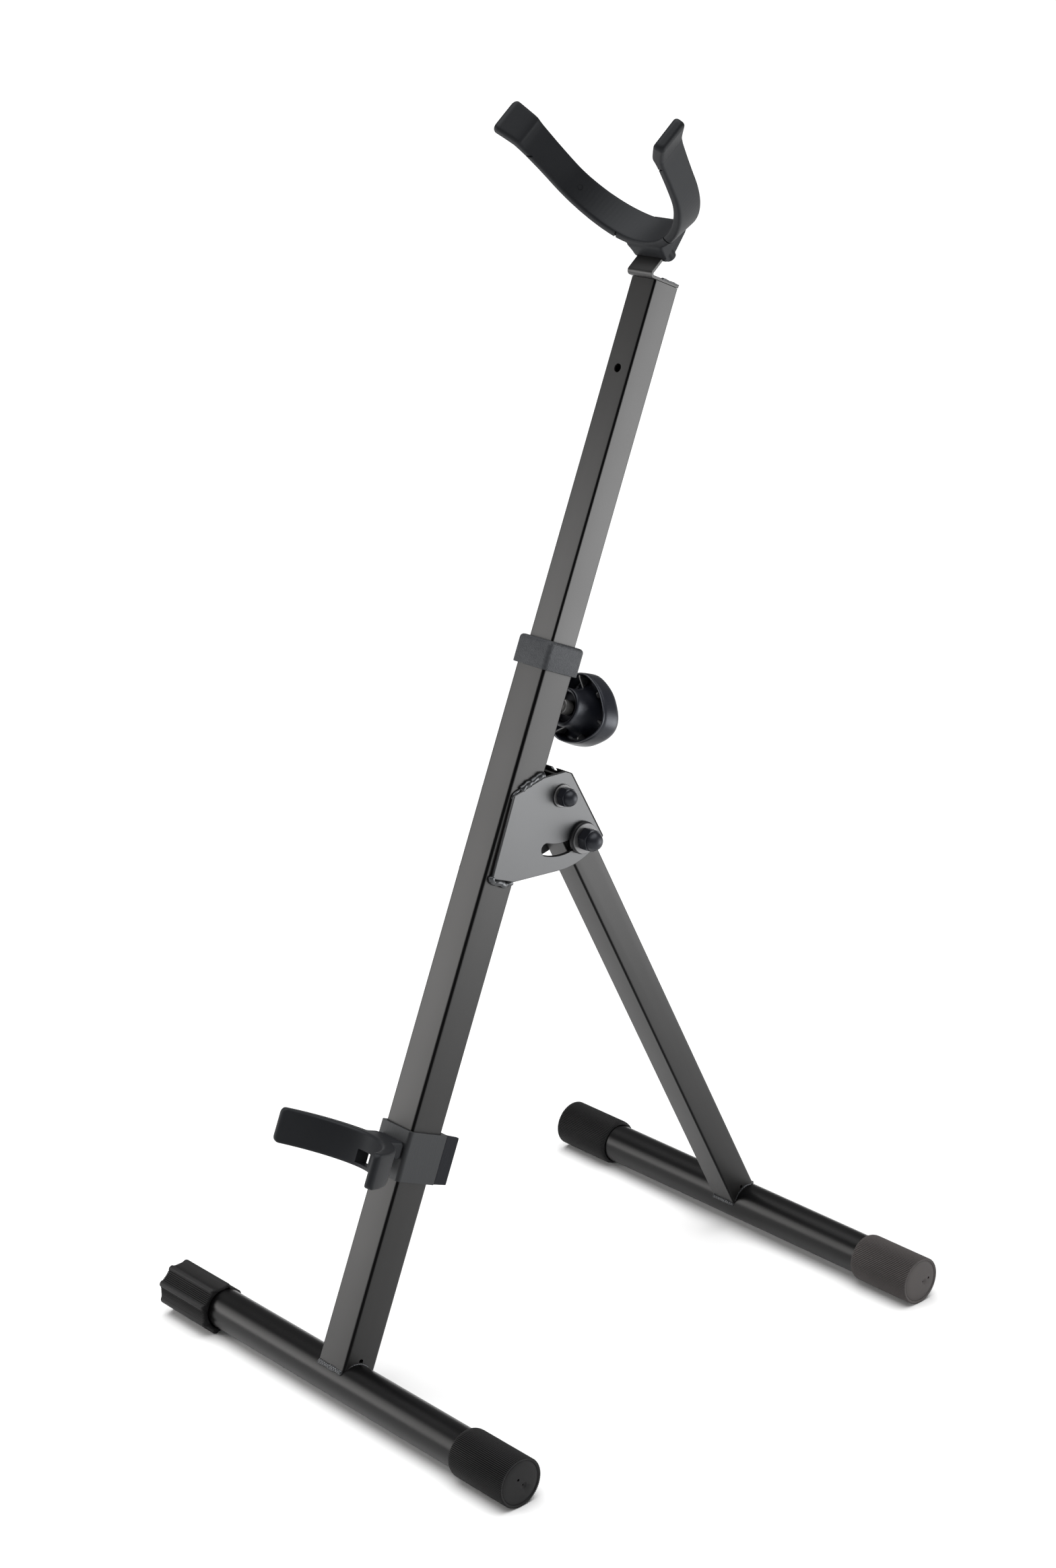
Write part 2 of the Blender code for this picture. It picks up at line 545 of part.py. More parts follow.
def make_hinge_hardware():
    """The pivot bolt above and the lock bolt below: bush, washers, domed nut and bolt."""
    stack_start = CHEEK_OUTSIDE + FIT_GAP
    for name, height, bolt_radius, bush_radius, washer_radius, flats, disc in (
            ("pivot", 0.0, 0.0030, 0.0045, 0.0088, 0.0130, 0.0),
            ("lock", -LOCK_RADIUS, 0.0040, 0.0060, 0.0117, 0.0157, 0.0030)):
        spot = (0.0, 0.0, height)
        bore = bolt_radius + FIT_GAP
        inner_face = CHEEK_OUTSIDE - SHEET - FIT_GAP
        bush = hollow_prism(circle(bush_radius), circle(bore), -inner_face, inner_face, "X")
        place(name + "_bush", bush, STEEL, leg, spot)
        reach = stack_start
        if disc:
            for side, word in ((1, "right"), (-1, "left")):
                ends = sorted((side * reach, side * (reach + disc)))
                pad = hollow_prism(circle(washer_radius + 0.0007, 32), circle(bore, 32), *ends, "X")
                place("lock_disc_" + word, pad, NYLON, leg, spot)
            reach += disc + FIT_GAP
        washer_sheet = 0.0014
        for side, word in ((1, "right"), (-1, "left")):
            ends = sorted((side * reach, side * (reach + washer_sheet)))
            washer = hollow_prism(circle(washer_radius, 32), circle(bore, 32), *ends, "X")
            place(name + "_washer_" + word, washer, STEEL, leg, spot)
        reach += washer_sheet + FIT_GAP
        nut_height = flats * 0.48
        dome = flats * 0.47
        nut = place(name + "_nut", prism(hexagon(flats), reach, reach + nut_height, "X"),
                    DARK_STEEL, leg, spot)
        top = [(0.0, reach + nut_height - 0.001), (dome, reach + nut_height - 0.001)]
        top += [(dome * math.cos(a), reach + nut_height + dome * math.sin(a))
                for a in (0.1, 0.4, 0.8, 1.2)]
        top += [(0.0, reach + nut_height + dome)]
        combine(nut, turned(top, 24, "X"), "UNION", spot)
        blind = prism(circle(bore, 16), reach - 0.005, reach + nut_height + dome * 0.4, "X")
        combine(nut, blind, "DIFFERENCE", spot)
        tip = reach + nut_height + dome * 0.4 - FIT_GAP
        head = flats * 0.42
        bolt = turned([(0.0, -reach - head), (head, -reach - head), (head * 1.5, -reach - head * 0.4),
                       (head * 1.5, -reach), (bolt_radius, -reach), (bolt_radius, tip), (0.0, tip)],
                      24, "X")
        place(name + "_bolt", bolt, DARK_STEEL, leg, spot)


def make_lower_support():
    """A sleeve on the outer tube, a clip behind it for the folded leg, and the fork in front."""
    low, high = 0.0, SUPPORT_TOP - SUPPORT_BOTTOM
    shell = rectangle(-SLEEVE_HALF, SLEEVE_HALF, -SLEEVE_FRONT, SLEEVE_BACK)
    sleeve = place("support_sleeve", prism(shell, low, high), CHARCOAL, support)
    round_edges(sleeve, 0.0022, 2, 60)
    fit = rounded_square(OUTER_SIDE + 2 * FIT_GAP, OUTER_CORNER + FIT_GAP)
    combine(sleeve, prism(fit, low - 0.010, high + 0.010), "DIFFERENCE")
    screw_spot = (0.0, 0.0, FORK_SCREW_HEIGHT)
    screw_hole = circle(FORK_SCREW_RADIUS + FIT_GAP, 16)
    combine(sleeve, prism(screw_hole, -0.030, 0.0, "Y"), "DIFFERENCE", screw_spot)

    clip_start = SLEEVE_BACK + FIT_GAP
    outer_x = CLIP_HALF
    inner_x = CLIP_HALF - CLIP_WALL
    plate = CLIP_PLATE
    channel = [(-outer_x, clip_start), (outer_x, clip_start), (outer_x, CLIP_BACK), (inner_x, CLIP_BACK),
               (inner_x, clip_start + plate), (-inner_x, clip_start + plate), (-inner_x, CLIP_BACK),
               (-outer_x, CLIP_BACK)]
    place("leg_clip", prism(channel, low + FIT_GAP, high - FIT_GAP), CHARCOAL, support)

    inner = curve_between((0.0, -0.0405), (0.0165, -0.0405), (0.0375, -0.0560), (0.0497, -0.0795), 10)
    outer = curve_between((0.0, -0.0290), (0.0215, -0.0290), (0.0460, -0.0490), (0.0563, -0.0765), 10)
    middle = ((inner[-1][0] + outer[-1][0]) / 2, (inner[-1][1] + outer[-1][1]) / 2)
    half_tip = math.dist(inner[-1], outer[-1]) / 2
    facing = math.degrees(math.atan2(inner[-1][1] - outer[-1][1], inner[-1][0] - outer[-1][0]))
    tip = arc(middle, half_tip, facing, facing + 180.0, 6)[1:-1]
    half = outer + tip[::-1] + inner[::-1]
    outline = half + [(-x, y) for x, y in half[-2:0:-1]]
    low_edge, high_edge = FORK_BOTTOM - SUPPORT_BOTTOM, FORK_TOP - SUPPORT_BOTTOM
    fork = place("support_fork", prism(outline, low_edge, high_edge), SOFT_TOUCH, support)
    round_edges(fork, 0.0020, 2, 60)
    waist = (low_edge + high_edge) / 2
    hub = rectangle(-HUB_HALF, HUB_HALF, -0.0360, -SLEEVE_FRONT - FIT_GAP)
    hub_guide = combine(fork, prism(hub, waist, high_edge - 0.0002), "UNION")
    round_edges(hub_guide, 0.0030, 2, 60)
    window = rectangle(-WINDOW_HALF, WINDOW_HALF, -0.0600, -0.0200)
    combine(fork, prism(window, low_edge + WINDOW_SILL, waist), "DIFFERENCE")
    combine(fork, prism(screw_hole, -0.030, 0.0, "Y"), "DIFFERENCE", screw_spot)

    far, near = -0.0296, -OUTER_SIDE / 2 - 2 * FIT_GAP
    screw = turned([(0.0, far), (FORK_SCREW_RADIUS, far), (FORK_SCREW_RADIUS, near), (0.0, near)],
                   16, "Y")
    place("fork_screw", screw, STEEL, support, screw_spot)


make_foot_tubes()
make_foot_caps()
make_levelling_cap()
make_outer_tube()
make_height_collar()
make_hinge_bracket()
make_clamp()
make_clamp_knob()
make_inner_tube()
make_mast_glide()
make_cradle_tab()
make_bell_cradle()
make_cradle_pin()
make_rear_leg()
make_hinge_hardware()
make_lower_support()
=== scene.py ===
"""Looks for a folding floor stand for a saxophone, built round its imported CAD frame."""
import math

import bmesh
import bpy
from mathutils import Matrix, Vector, noise


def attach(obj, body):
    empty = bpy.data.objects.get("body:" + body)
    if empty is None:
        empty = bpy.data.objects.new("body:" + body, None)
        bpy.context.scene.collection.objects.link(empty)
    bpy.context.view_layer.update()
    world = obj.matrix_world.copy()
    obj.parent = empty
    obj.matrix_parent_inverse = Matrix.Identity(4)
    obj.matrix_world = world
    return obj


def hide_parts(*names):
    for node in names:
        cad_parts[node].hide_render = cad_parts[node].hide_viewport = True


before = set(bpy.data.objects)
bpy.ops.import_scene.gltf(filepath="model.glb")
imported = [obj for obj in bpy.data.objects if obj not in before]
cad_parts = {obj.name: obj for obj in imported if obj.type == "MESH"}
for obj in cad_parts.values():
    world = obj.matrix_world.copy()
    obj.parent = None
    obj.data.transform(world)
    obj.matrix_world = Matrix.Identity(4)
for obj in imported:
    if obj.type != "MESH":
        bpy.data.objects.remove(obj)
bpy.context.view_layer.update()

# Sizes, in metres, as the CAD has them
FOOT_SPACING = 0.4115
FOOT_TUBE_RADIUS = 0.01565
FOOT_HALF_LENGTH = 0.1989
FOOT_HEIGHT = 0.01875
CAP_LENGTH = 0.0575
CAP_FLOOR = 0.0053
OUTER_SIDE = 0.0300
INNER_SIDE = 0.0250
TUBE_WALL = 0.0015
OUTER_ROUND = 0.0025
INNER_ROUND = 0.0020
UPRIGHT_LOWEST = 0.0035
UPRIGHT_LEAN = math.radians(23.517)
UPRIGHT_SETBACK = 0.0010
OUTER_TOP = 0.5560
COLLAR_BOTTOM = 0.5403
COLLAR_TOP = 0.5615
COLLAR_SIDE = 0.0360
INNER_BOTTOM = 0.4150
INNER_TOP = 0.82975
MAST_HOLE = 0.7629
KNOB_STATION = 0.5174
SUPPORT_BOTTOM = 0.1547
SUPPORT_TOP = 0.1925
SUPPORT_SCREW = SUPPORT_BOTTOM + 0.0215
SUPPORT_SCREW_BORE = 0.0022
PIVOT_STATION = 0.4549
PIVOT_BEHIND = 0.0349
LOCK_RADIUS = 0.0412
FOLD_ANGLE = 49.5
CHEEK_OUTSIDE = 0.0180
SHEET = 0.0027
WEB_INSIDE = 0.0147
WELD_CLEAR = 0.0138
LEG_ABOVE_PIVOT = 0.0070
LEVEL_CORNER_RADIUS = 0.0208
LEVEL_FORWARD = 0.0031
LEVEL_LENGTH = 0.0565
LEVEL_OVERHANG = 0.0015
CRADLE_LEAN = math.radians(38.6)
CRADLE_FORWARD = 0.0147
CRADLE_STATION = 0.8636
CRADLE_HALF_WIDTH = 0.0144
CRADLE_PIN = (0.0, -0.0080, 0.0)
SLEEVE_HALF = 0.0175
SLEEVE_FRONT = 0.0180
SLEEVE_BACK = 0.0187
CLIP_BACK = 0.0320
FORK_BOTTOM = 0.1571
FORK_TOP = 0.1834
FIT_GAP = 0.0003

LEVEL_FLAT = LEVEL_CORNER_RADIUS * math.cos(math.radians(22.5))
ORIGIN_BACK = (FOOT_SPACING + FOOT_HEIGHT - LEVEL_FORWARD - LEVEL_FLAT) / 2


def moved(*distance):
    return Matrix.Translation(distance)


def frame_at(location, tilt=0.0, parent=Matrix()):
    """A frame at a location in its parent's frame, tilted about the parent's X axis."""
    return parent @ moved(*location) @ Matrix.Rotation(tilt, 4, "X")


pivot_y = (UPRIGHT_SETBACK + PIVOT_STATION * math.sin(UPRIGHT_LEAN)
           + PIVOT_BEHIND * math.cos(UPRIGHT_LEAN))
pivot_z = PIVOT_STATION * math.cos(UPRIGHT_LEAN) - PIVOT_BEHIND * math.sin(UPRIGHT_LEAN)
LEG_LENGTH = math.hypot(FOOT_SPACING - pivot_y, pivot_z)
LEG_LEAN = math.atan2(FOOT_SPACING - pivot_y, pivot_z)
FRONT_FOOT = frame_at((0.0, -ORIGIN_BACK, FOOT_HEIGHT))
UPRIGHT = frame_at((0.0, UPRIGHT_SETBACK, 0.0), -UPRIGHT_LEAN, FRONT_FOOT)
LEG = frame_at((0.0, pivot_y, pivot_z), LEG_LEAN, FRONT_FOOT)
REAR_FOOT = frame_at((0.0, 0.0, -LEG_LENGTH), -LEG_LEAN, LEG)
CRADLE = frame_at((0.0, -CRADLE_FORWARD, CRADLE_STATION), UPRIGHT_LEAN + CRADLE_LEAN, UPRIGHT)
CLAMP = frame_at((0.0, OUTER_SIDE / 2, KNOB_STATION), 0.0, UPRIGHT)


# Materials
COOL = (0.88, 0.92, 1.0)
LONG_GRAIN = (1.0, 1.0, 0.15)


def material(name, dark, light, roughness, grain_scale, grain_height, metallic=0.0,
             patch_scale=14.0, stretch=(1.0, 1.0, 1.0), shine=0.5, tint=(1.0, 1.0, 1.0)):
    """A finish with slow colour patches, roughness that follows them, and a fine grain."""
    made = bpy.data.materials.new(name)
    made.use_nodes = True
    tree = made.node_tree
    shader = tree.nodes["Principled BSDF"]
    shader.inputs["Metallic"].default_value = metallic
    shader.inputs["Specular IOR Level"].default_value = shine
    shader.inputs["Specular Tint"].default_value = (*tint, 1.0)
    where = tree.nodes.new("ShaderNodeTexCoord")
    scaled = tree.nodes.new("ShaderNodeMapping")
    scaled.inputs["Scale"].default_value = stretch
    tree.links.new(where.outputs["Object"], scaled.inputs["Vector"])

    patches = tree.nodes.new("ShaderNodeTexNoise")
    patches.inputs["Scale"].default_value = patch_scale
    patches.inputs["Detail"].default_value = 4.0
    tree.links.new(scaled.outputs["Vector"], patches.inputs["Vector"])
    colours = tree.nodes.new("ShaderNodeValToRGB")
    colours.color_ramp.elements[0].position = 0.32
    colours.color_ramp.elements[0].color = (*dark, 1.0)
    colours.color_ramp.elements[1].position = 0.68
    colours.color_ramp.elements[1].color = (*light, 1.0)
    tree.links.new(patches.outputs["Fac"], colours.inputs["Fac"])
    tree.links.new(colours.outputs["Color"], shader.inputs["Base Color"])

    span = tree.nodes.new("ShaderNodeMapRange")
    span.inputs["To Min"].default_value = roughness[0]
    span.inputs["To Max"].default_value = roughness[1]
    tree.links.new(patches.outputs["Fac"], span.inputs["Value"])
    tree.links.new(span.outputs["Result"], shader.inputs["Roughness"])

    grain = tree.nodes.new("ShaderNodeTexNoise")
    grain.inputs["Scale"].default_value = grain_scale
    grain.inputs["Detail"].default_value = 3.0
    tree.links.new(scaled.outputs["Vector"], grain.inputs["Vector"])
    bump = tree.nodes.new("ShaderNodeBump")
    bump.inputs["Strength"].default_value = 1.0
    bump.inputs["Distance"].default_value = grain_height
    tree.links.new(grain.outputs["Fac"], bump.inputs["Height"])
    tree.links.new(bump.outputs["Normal"], shader.inputs["Normal"])
    return made


PAINT = material("look_satin_black_paint", (0.0060, 0.0058, 0.0058),
                 (0.0085, 0.0081, 0.0080), (0.38, 0.45), 900.0, 0.00002, shine=0.54)
# Painted shade: the satin black paint again, with less shine, so the outer tube and the rear leg
# read darker.
SHADED_LOWER_PAINT = material("look_lower_tube_painted_shade", (0.0060, 0.0057, 0.0057),
                       (0.0080, 0.0076, 0.0074), (0.37, 0.44), 900.0, 0.00002, shine=0.39)
# Painted shade: the black paint made darker and less shiny for the round foot tubes.
SHADED_FOOT_PAINT = material("look_foot_tube_painted_shade", (0.0020, 0.0019, 0.0021),
                      (0.0032, 0.0031, 0.0033), (0.27, 0.33), 900.0, 0.00002, shine=0.22)
# Painted light: the black paint made lighter, bluer and shinier for the hinge bracket, so its
# cheeks read brightly lit.
LIT_BRACKET_PAINT = material("look_bracket_painted_light", (0.0105, 0.0110, 0.0118),
                       (0.0140, 0.0145, 0.0155), (0.38, 0.45), 900.0, 0.00002, shine=0.82,
                       tint=(0.965, 0.98, 1.0))
# Painted reflection: a near-black, barely reflective copy of the paint for the tubes' rounded
# corners and the bracket's fold, standing in for the dark surroundings they reflect.
DARK_REFLECTION_PAINT = material("look_painted_dark_corner_reflection", (0.0014, 0.0014, 0.0016),
                        (0.0024, 0.0024, 0.0026), (0.30, 0.38), 900.0, 0.00002, shine=0.08)
# The beads' paint: the frame's black paint with its own tone and a stronger sheen, set to the
# studio light, so painted light and shade rather than a different paint.
WELD = material("look_painted_weld", (0.006, 0.0062, 0.0066),
                (0.011, 0.0112, 0.0118), (0.28, 0.38), 300.0, 0.00006, shine=0.75,
                tint=(0.92, 0.95, 1.0))
COLLAR = material("look_charcoal_plastic", (0.016, 0.0168, 0.0185),
                  (0.030, 0.0308, 0.033), (0.48, 0.60), 950.0, 0.00055, shine=0.42,
                  patch_scale=420.0, tint=(0.90, 0.94, 1.0))
KNOB = material("look_knob_plastic", (0.0040, 0.0045, 0.0075),
                (0.0060, 0.0065, 0.0100), (0.31, 0.39), 1500.0, 0.00009, shine=0.46, tint=COOL)
# Painted shade: a darker, nearly unreflective copy of the knob plastic for the hub's recess.
HUB_SHADE = material("look_knob_hub_painted_shade", (0.0025, 0.0028, 0.0050),
                  (0.0035, 0.0038, 0.0065), (0.50, 0.60), 1500.0, 0.00004, shine=0.08, tint=COOL)
# Painted highlight: light grey, far lighter than the knob plastic, so the fins read lit.
FIN_HIGHLIGHT = material("look_knob_fin_painted_highlight", (0.050, 0.050, 0.052), (0.070, 0.070, 0.072),
               (0.35, 0.45), 1500.0, 0.00004, shine=0.7)
RUBBER = material("look_cap_rubber", (0.0062, 0.0062, 0.0066),
                  (0.0092, 0.0090, 0.0094), (0.52, 0.64), 1200.0, 0.00006, shine=0.24)
# Painted light: a lighter, warmer copy of the cap rubber for the rear right cap, standing in for
# the light it catches.
LIT_CAP_RUBBER = material("look_rear_cap_rubber_painted_light", (0.052, 0.0465, 0.0455),
                       (0.066, 0.0590, 0.0575), (0.60, 0.72), 1200.0, 0.00006, shine=0.34)
SOFT = material("look_rubberised_plastic", (0.0072, 0.0076, 0.0088),
                (0.0108, 0.0113, 0.0128), (0.50, 0.60), 1800.0, 0.00005, shine=0.19,
                tint=(0.92, 0.96, 1.0))
SLEEVE = material("look_sleeve_plastic", (0.0105, 0.0110, 0.0120),
                  (0.0150, 0.0156, 0.0168), (0.46, 0.56), 900.0, 0.00010, stretch=LONG_GRAIN,
                  shine=0.44, tint=(0.94, 0.97, 1.0))
NYLON = material("look_black_nylon", (0.005, 0.005, 0.006), (0.007, 0.007, 0.008),
                 (0.45, 0.55), 1200.0, 0.00003, shine=0.3)
ZINC = material("look_zinc_steel", (0.115, 0.115, 0.117),
                (0.160, 0.160, 0.162), (0.48, 0.60), 1500.0, 0.00004, metallic=1.0,
                patch_scale=160.0)
# Painted light: steel made light grey and barely metallic, so the clamp screw reads lit though it
# sits in shade.
LIT_SCREW_STEEL = material("look_screw_steel_painted_light", (0.15, 0.148, 0.145), (0.19, 0.188, 0.185),
                (0.34, 0.42), 1500.0, 0.00004, metallic=0.25, patch_scale=160.0, shine=0.8)
GLOSS = material("look_black_nut_plastic", (0.0040, 0.0044, 0.0070),
                 (0.0056, 0.0060, 0.0088), (0.40, 0.48), 900.0, 0.00002, shine=0.42, tint=COOL)
CLIP = material("look_clip_plastic", (0.0085, 0.0090, 0.0110),
                (0.014, 0.0145, 0.0175), (0.58, 0.68), 900.0, 0.00010, stretch=LONG_GRAIN,
                shine=0.15, tint=COOL)


# Mesh helpers
def place(name, mesh, paint, body, matrix=Matrix(), replaced=(), smooth=30, cuts=(), joins=(),
          rounding=0.0, voxel=0.0, relax=0, second=None):
    """Turn a bmesh into a piece that rides on a body. joins melt into it and need a voxel size.

    second is another paint and the rule of normal and centre that says which faces get it.
    """
    for other in joins:
        melted = bpy.data.meshes.new(name + "_join")
        bmesh.ops.recalc_face_normals(other, faces=other.faces)
        other.to_mesh(melted)
        other.free()
        mesh.from_mesh(melted)
        bpy.data.meshes.remove(melted)
    piece = loose(name, mesh)
    if voxel:
        modify(piece, "REMESH", mode="VOXEL", voxel_size=voxel)
        modify(piece, "SMOOTH", factor=0.5, iterations=relax)
    for cut in cuts:
        guide = loose(name + "_guide", cut)
        modify(piece, "BOOLEAN", operation="DIFFERENCE", solver="EXACT", object=guide)
        bpy.data.meshes.remove(guide.data)
    if rounding:
        modify(piece, "BEVEL", width=rounding, segments=3, limit_method="ANGLE",
               angle_limit=math.radians(38), harden_normals=False)
    data = piece.data
    data.materials.clear()
    data.materials.append(paint)
    if second:
        data.materials.append(second[0])
        for face in data.polygons:
            if second[1](face.normal, face.center):
                face.material_index = 1
    data.shade_smooth()
    data.set_sharp_from_angle(angle=math.radians(smooth))
    if rounding:
        modify(piece, "WEIGHTED_NORMAL", keep_sharp=True)
    piece.matrix_world = matrix
    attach(piece, body)
    if replaced:
        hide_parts(*replaced)


def skin(node, mesh, paint, body, matrix, **settings):
    """A piece that replaces the one CAD node it is named after."""
    place(node + "_skin", mesh, paint, body, matrix, [node], **settings)


def loose(name, mesh):
    bmesh.ops.recalc_face_normals(mesh, faces=mesh.faces)
    data = bpy.data.meshes.new(name)
    mesh.to_mesh(data)
    mesh.free()
    return linked(name, data)


def linked(name, data):
    made = bpy.data.objects.new(name, data)
    bpy.context.scene.collection.objects.link(made)
    return made


def modify(piece, kind, **settings):
    """Add a modifier and bake its result into the mesh."""
    step = piece.modifiers.new(kind.lower(), kind)
    for key, value in settings.items():
        setattr(step, key, value)
    depsgraph = bpy.context.evaluated_depsgraph_get()
    result = bpy.data.meshes.new_from_object(piece.evaluated_get(depsgraph),
                                             depsgraph=depsgraph)
    piece.modifiers.clear()
    before = piece.data
    result.name = before.name + "_"
    piece.data = result
    bpy.data.meshes.remove(before)


def lofted(rings, along=False):
    """Skin rings of equally many points, and close the ends, or join last to first if along."""
    mesh = bmesh.new()
    rows = [[mesh.verts.new(point) for point in ring] for ring in rings]
    count = len(rows[0])
    pairs = list(zip(rows, rows[1:] + rows[:1])) if along else list(zip(rows, rows[1:]))
    for near, far in pairs:
        for k in range(count):
            after = (k + 1) % count
            mesh.faces.new((near[k], near[after], far[after], far[k]))
    if not along:
        mesh.faces.new(rows[0])
        mesh.faces.new(rows[-1])
    return mesh


def turned_to(along, across, distance):
    """A point from its two coordinates across an axis and its distance along it."""
    return {"X": (distance, across[0], across[1]),
            "Y": (across[0], distance, across[1]),
            "Z": (across[0], across[1], distance)}[along]


def prism(outline, low, high, along="Z"):
    return lofted([[turned_to(along, point, distance) for point in outline]
                   for distance in (low, high)])


def drill(location, radius, low, high, along, segments=48):
    """A round cutter along an axis."""
    return at(moved(*location), prism(circle(radius, segments), low, high, along))


def circle(radius, segments=48):
    return [(radius * math.cos(2 * math.pi * k / segments),
             radius * math.sin(2 * math.pi * k / segments)) for k in range(segments)]


def turned(profile, along="X", segments=96):
    """Turn (radius, distance) points about an axis into a solid with flat ends."""
    least = 0.00001
    return lofted([[turned_to(along, point, distance)
                    for point in circle(max(radius, least), segments)]
                   for radius, distance in profile])


def ring_turned(profile, along="X", segments=96):
    """Turn a closed profile of (radius, distance) points about an axis."""
    return lofted([[turned_to(along, point, distance) for point in circle(radius, segments)]
                   for radius, distance in profile], along=True)


def rounded_section(half_width, half_thick, radius, steps=5):
    """A section outline: width along the first axis, thickness along the second."""
    points = []
    radius = min(radius, half_thick * 0.98, half_width * 0.98)
    for quarter, (sx, sy) in enumerate(((1, 1), (-1, 1), (-1, -1), (1, -1))):
        for k in range(steps + 1):
            angle = (quarter + k / steps) * math.pi / 2
            points.append((sx * (half_width - radius) + radius * math.cos(angle),
                           sy * (half_thick - radius) + radius * math.sin(angle)))
    return points


def rounded_square(side, radius):
    return rounded_section(side / 2, side / 2, radius, 8)


def arc(centre, radius, start_degrees, end_degrees, steps):
    points = []
    for k in range(steps + 1):
        angle = math.radians(start_degrees + (end_degrees - start_degrees) * k / steps)
        points.append((centre[0] + radius * math.cos(angle), centre[1] + radius * math.sin(angle)))
    return points


def curve_between(start, leave, arrive, end, steps):
    """A cubic curve from start to end, leaving and arriving by its two handles."""
    points = []
    for k in range(steps + 1):
        t = k / steps
        weights = ((1 - t) ** 3, 3 * t * (1 - t) ** 2, 3 * t * t * (1 - t), t ** 3)
        points.append(tuple(sum(w * p[axis] for w, p in zip(weights, (start, leave, arrive, end)))
                            for axis in (0, 1)))
    return points


def rounded_outline(points, radii, steps=6):
    """A closed outline with each corner turned into an arc of its own radius."""
    out = []
    count = len(points)
    for k, (point, radius) in enumerate(zip(points, radii)):
        here = Vector(point)
        before = (Vector(points[k - 1]) - here).normalized()
        after = (Vector(points[(k + 1) % count]) - here).normalized()
        if radius <= 0:
            out.append(tuple(here))
            continue
        half = before.angle(after) / 2
        run = radius / math.tan(half)
        centre = here + (before + after).normalized() * (radius / math.sin(half))
        start, end = here + before * run - centre, here + after * run - centre
        sweep = start.angle_signed(end)
        for j in range(steps + 1):
            turn = Matrix.Rotation(-sweep * j / steps, 2)
            out.append(tuple(centre + turn @ start))
    return out


def smooth_path(points, per_span=6):
    """Catmull-Rom points through a path."""
    out = []
    for k in range(len(points) - 1):
        p0 = Vector(points[max(k - 1, 0)])
        p1, p2 = Vector(points[k]), Vector(points[k + 1])
        p3 = Vector(points[min(k + 2, len(points) - 1)])
        for j in range(per_span):
            t = j / per_span
            out.append(0.5 * ((2 * p1) + (p2 - p0) * t + (2 * p0 - 5 * p1 + 4 * p2 - p3) * t * t
                              + (3 * p1 - p0 - 3 * p2 + p3) * t ** 3))
    out.append(Vector(points[-1]))
    return out


def at(matrix, mesh):
    mesh.transform(matrix)
    return mesh


def weld_bead(name, path, radius, body, matrix, ripple=0.0021, seed=1.0, lumps=0.20,
              clear=0.0):
    """A lumpy bead along a path, in overlapping scales, that stays clear of the plane x = 0."""
    points = smooth_path(path, 14)
    slant = Vector((0.31, 0.52, 0.80))
    taper, around = 5.0, 20
    travelled = 0.0
    rings = []
    for k, point in enumerate(points):
        ahead = points[min(k + 1, len(points) - 1)] - points[max(k - 1, 0)]
        ahead.normalize()
        if k:
            travelled += (point - points[k - 1]).length
        side = ahead.cross(slant).normalized()
        rise = side.cross(ahead)
        end = min(1.0, math.sqrt(max(0.0, min(k, len(points) - 1 - k) / taper)))
        scale = 0.84 + 0.18 * abs(math.sin(math.pi * travelled / ripple))
        scale += 0.26 * noise.noise(Vector((travelled * 130.0, seed, 0.5)))
        size = max(radius * scale * end, radius * 0.05)
        ring = []
        for j in range(around):
            angle = 2 * math.pi * j / around
            lump = 1.0 + lumps * noise.noise(Vector((travelled * 260.0, seed + math.cos(angle),
                                                     math.sin(angle))))
            spot = point + (side * math.cos(angle) + rise * math.sin(angle)) * size * lump
            spot.x = math.copysign(max(abs(spot.x), clear), spot.x)
            ring.append(spot)
        rings.append(ring)
    # Every bead wears the weld look, the black paint with its tone set as painted light and shade.
    place(name, lofted(rings), WELD, body, matrix, smooth=60)


# Square tubes
def square_tube(side, radius, low_rule, high):
    """A hollow square tube, its lower end shaped by a rule of x and y."""
    outside = rounded_square(side, radius)
    inside = rounded_square(side - 2 * TUBE_WALL, max(radius - TUBE_WALL, 0.0005))
    rows = []
    for outline, ends in ((outside, (0, 1)), (inside, (1, 0))):
        for end in ends:
            rows.append([(x, y, high if end else low_rule(x, y)) for x, y in outline])
    return lofted(rows, along=True)


def saddle_rule(tube_frame, foot_frame, least):
    """The height at which a tube's wall meets the round foot tube across its end."""
    axis = tube_frame.inverted() @ foot_frame.translation
    reach = FOOT_TUBE_RADIUS + 0.0001

    def rule(_, y):
        across = min(abs(y - axis.y), reach)
        return max(least, axis.z + math.sqrt(reach * reach - across * across))
    return rule


# Faces on a tube's rounded corners, which take the painted dark reflection.
def on_corner(normal, _):
    return abs(normal.x) > 0.42 and abs(normal.y) > 0.42


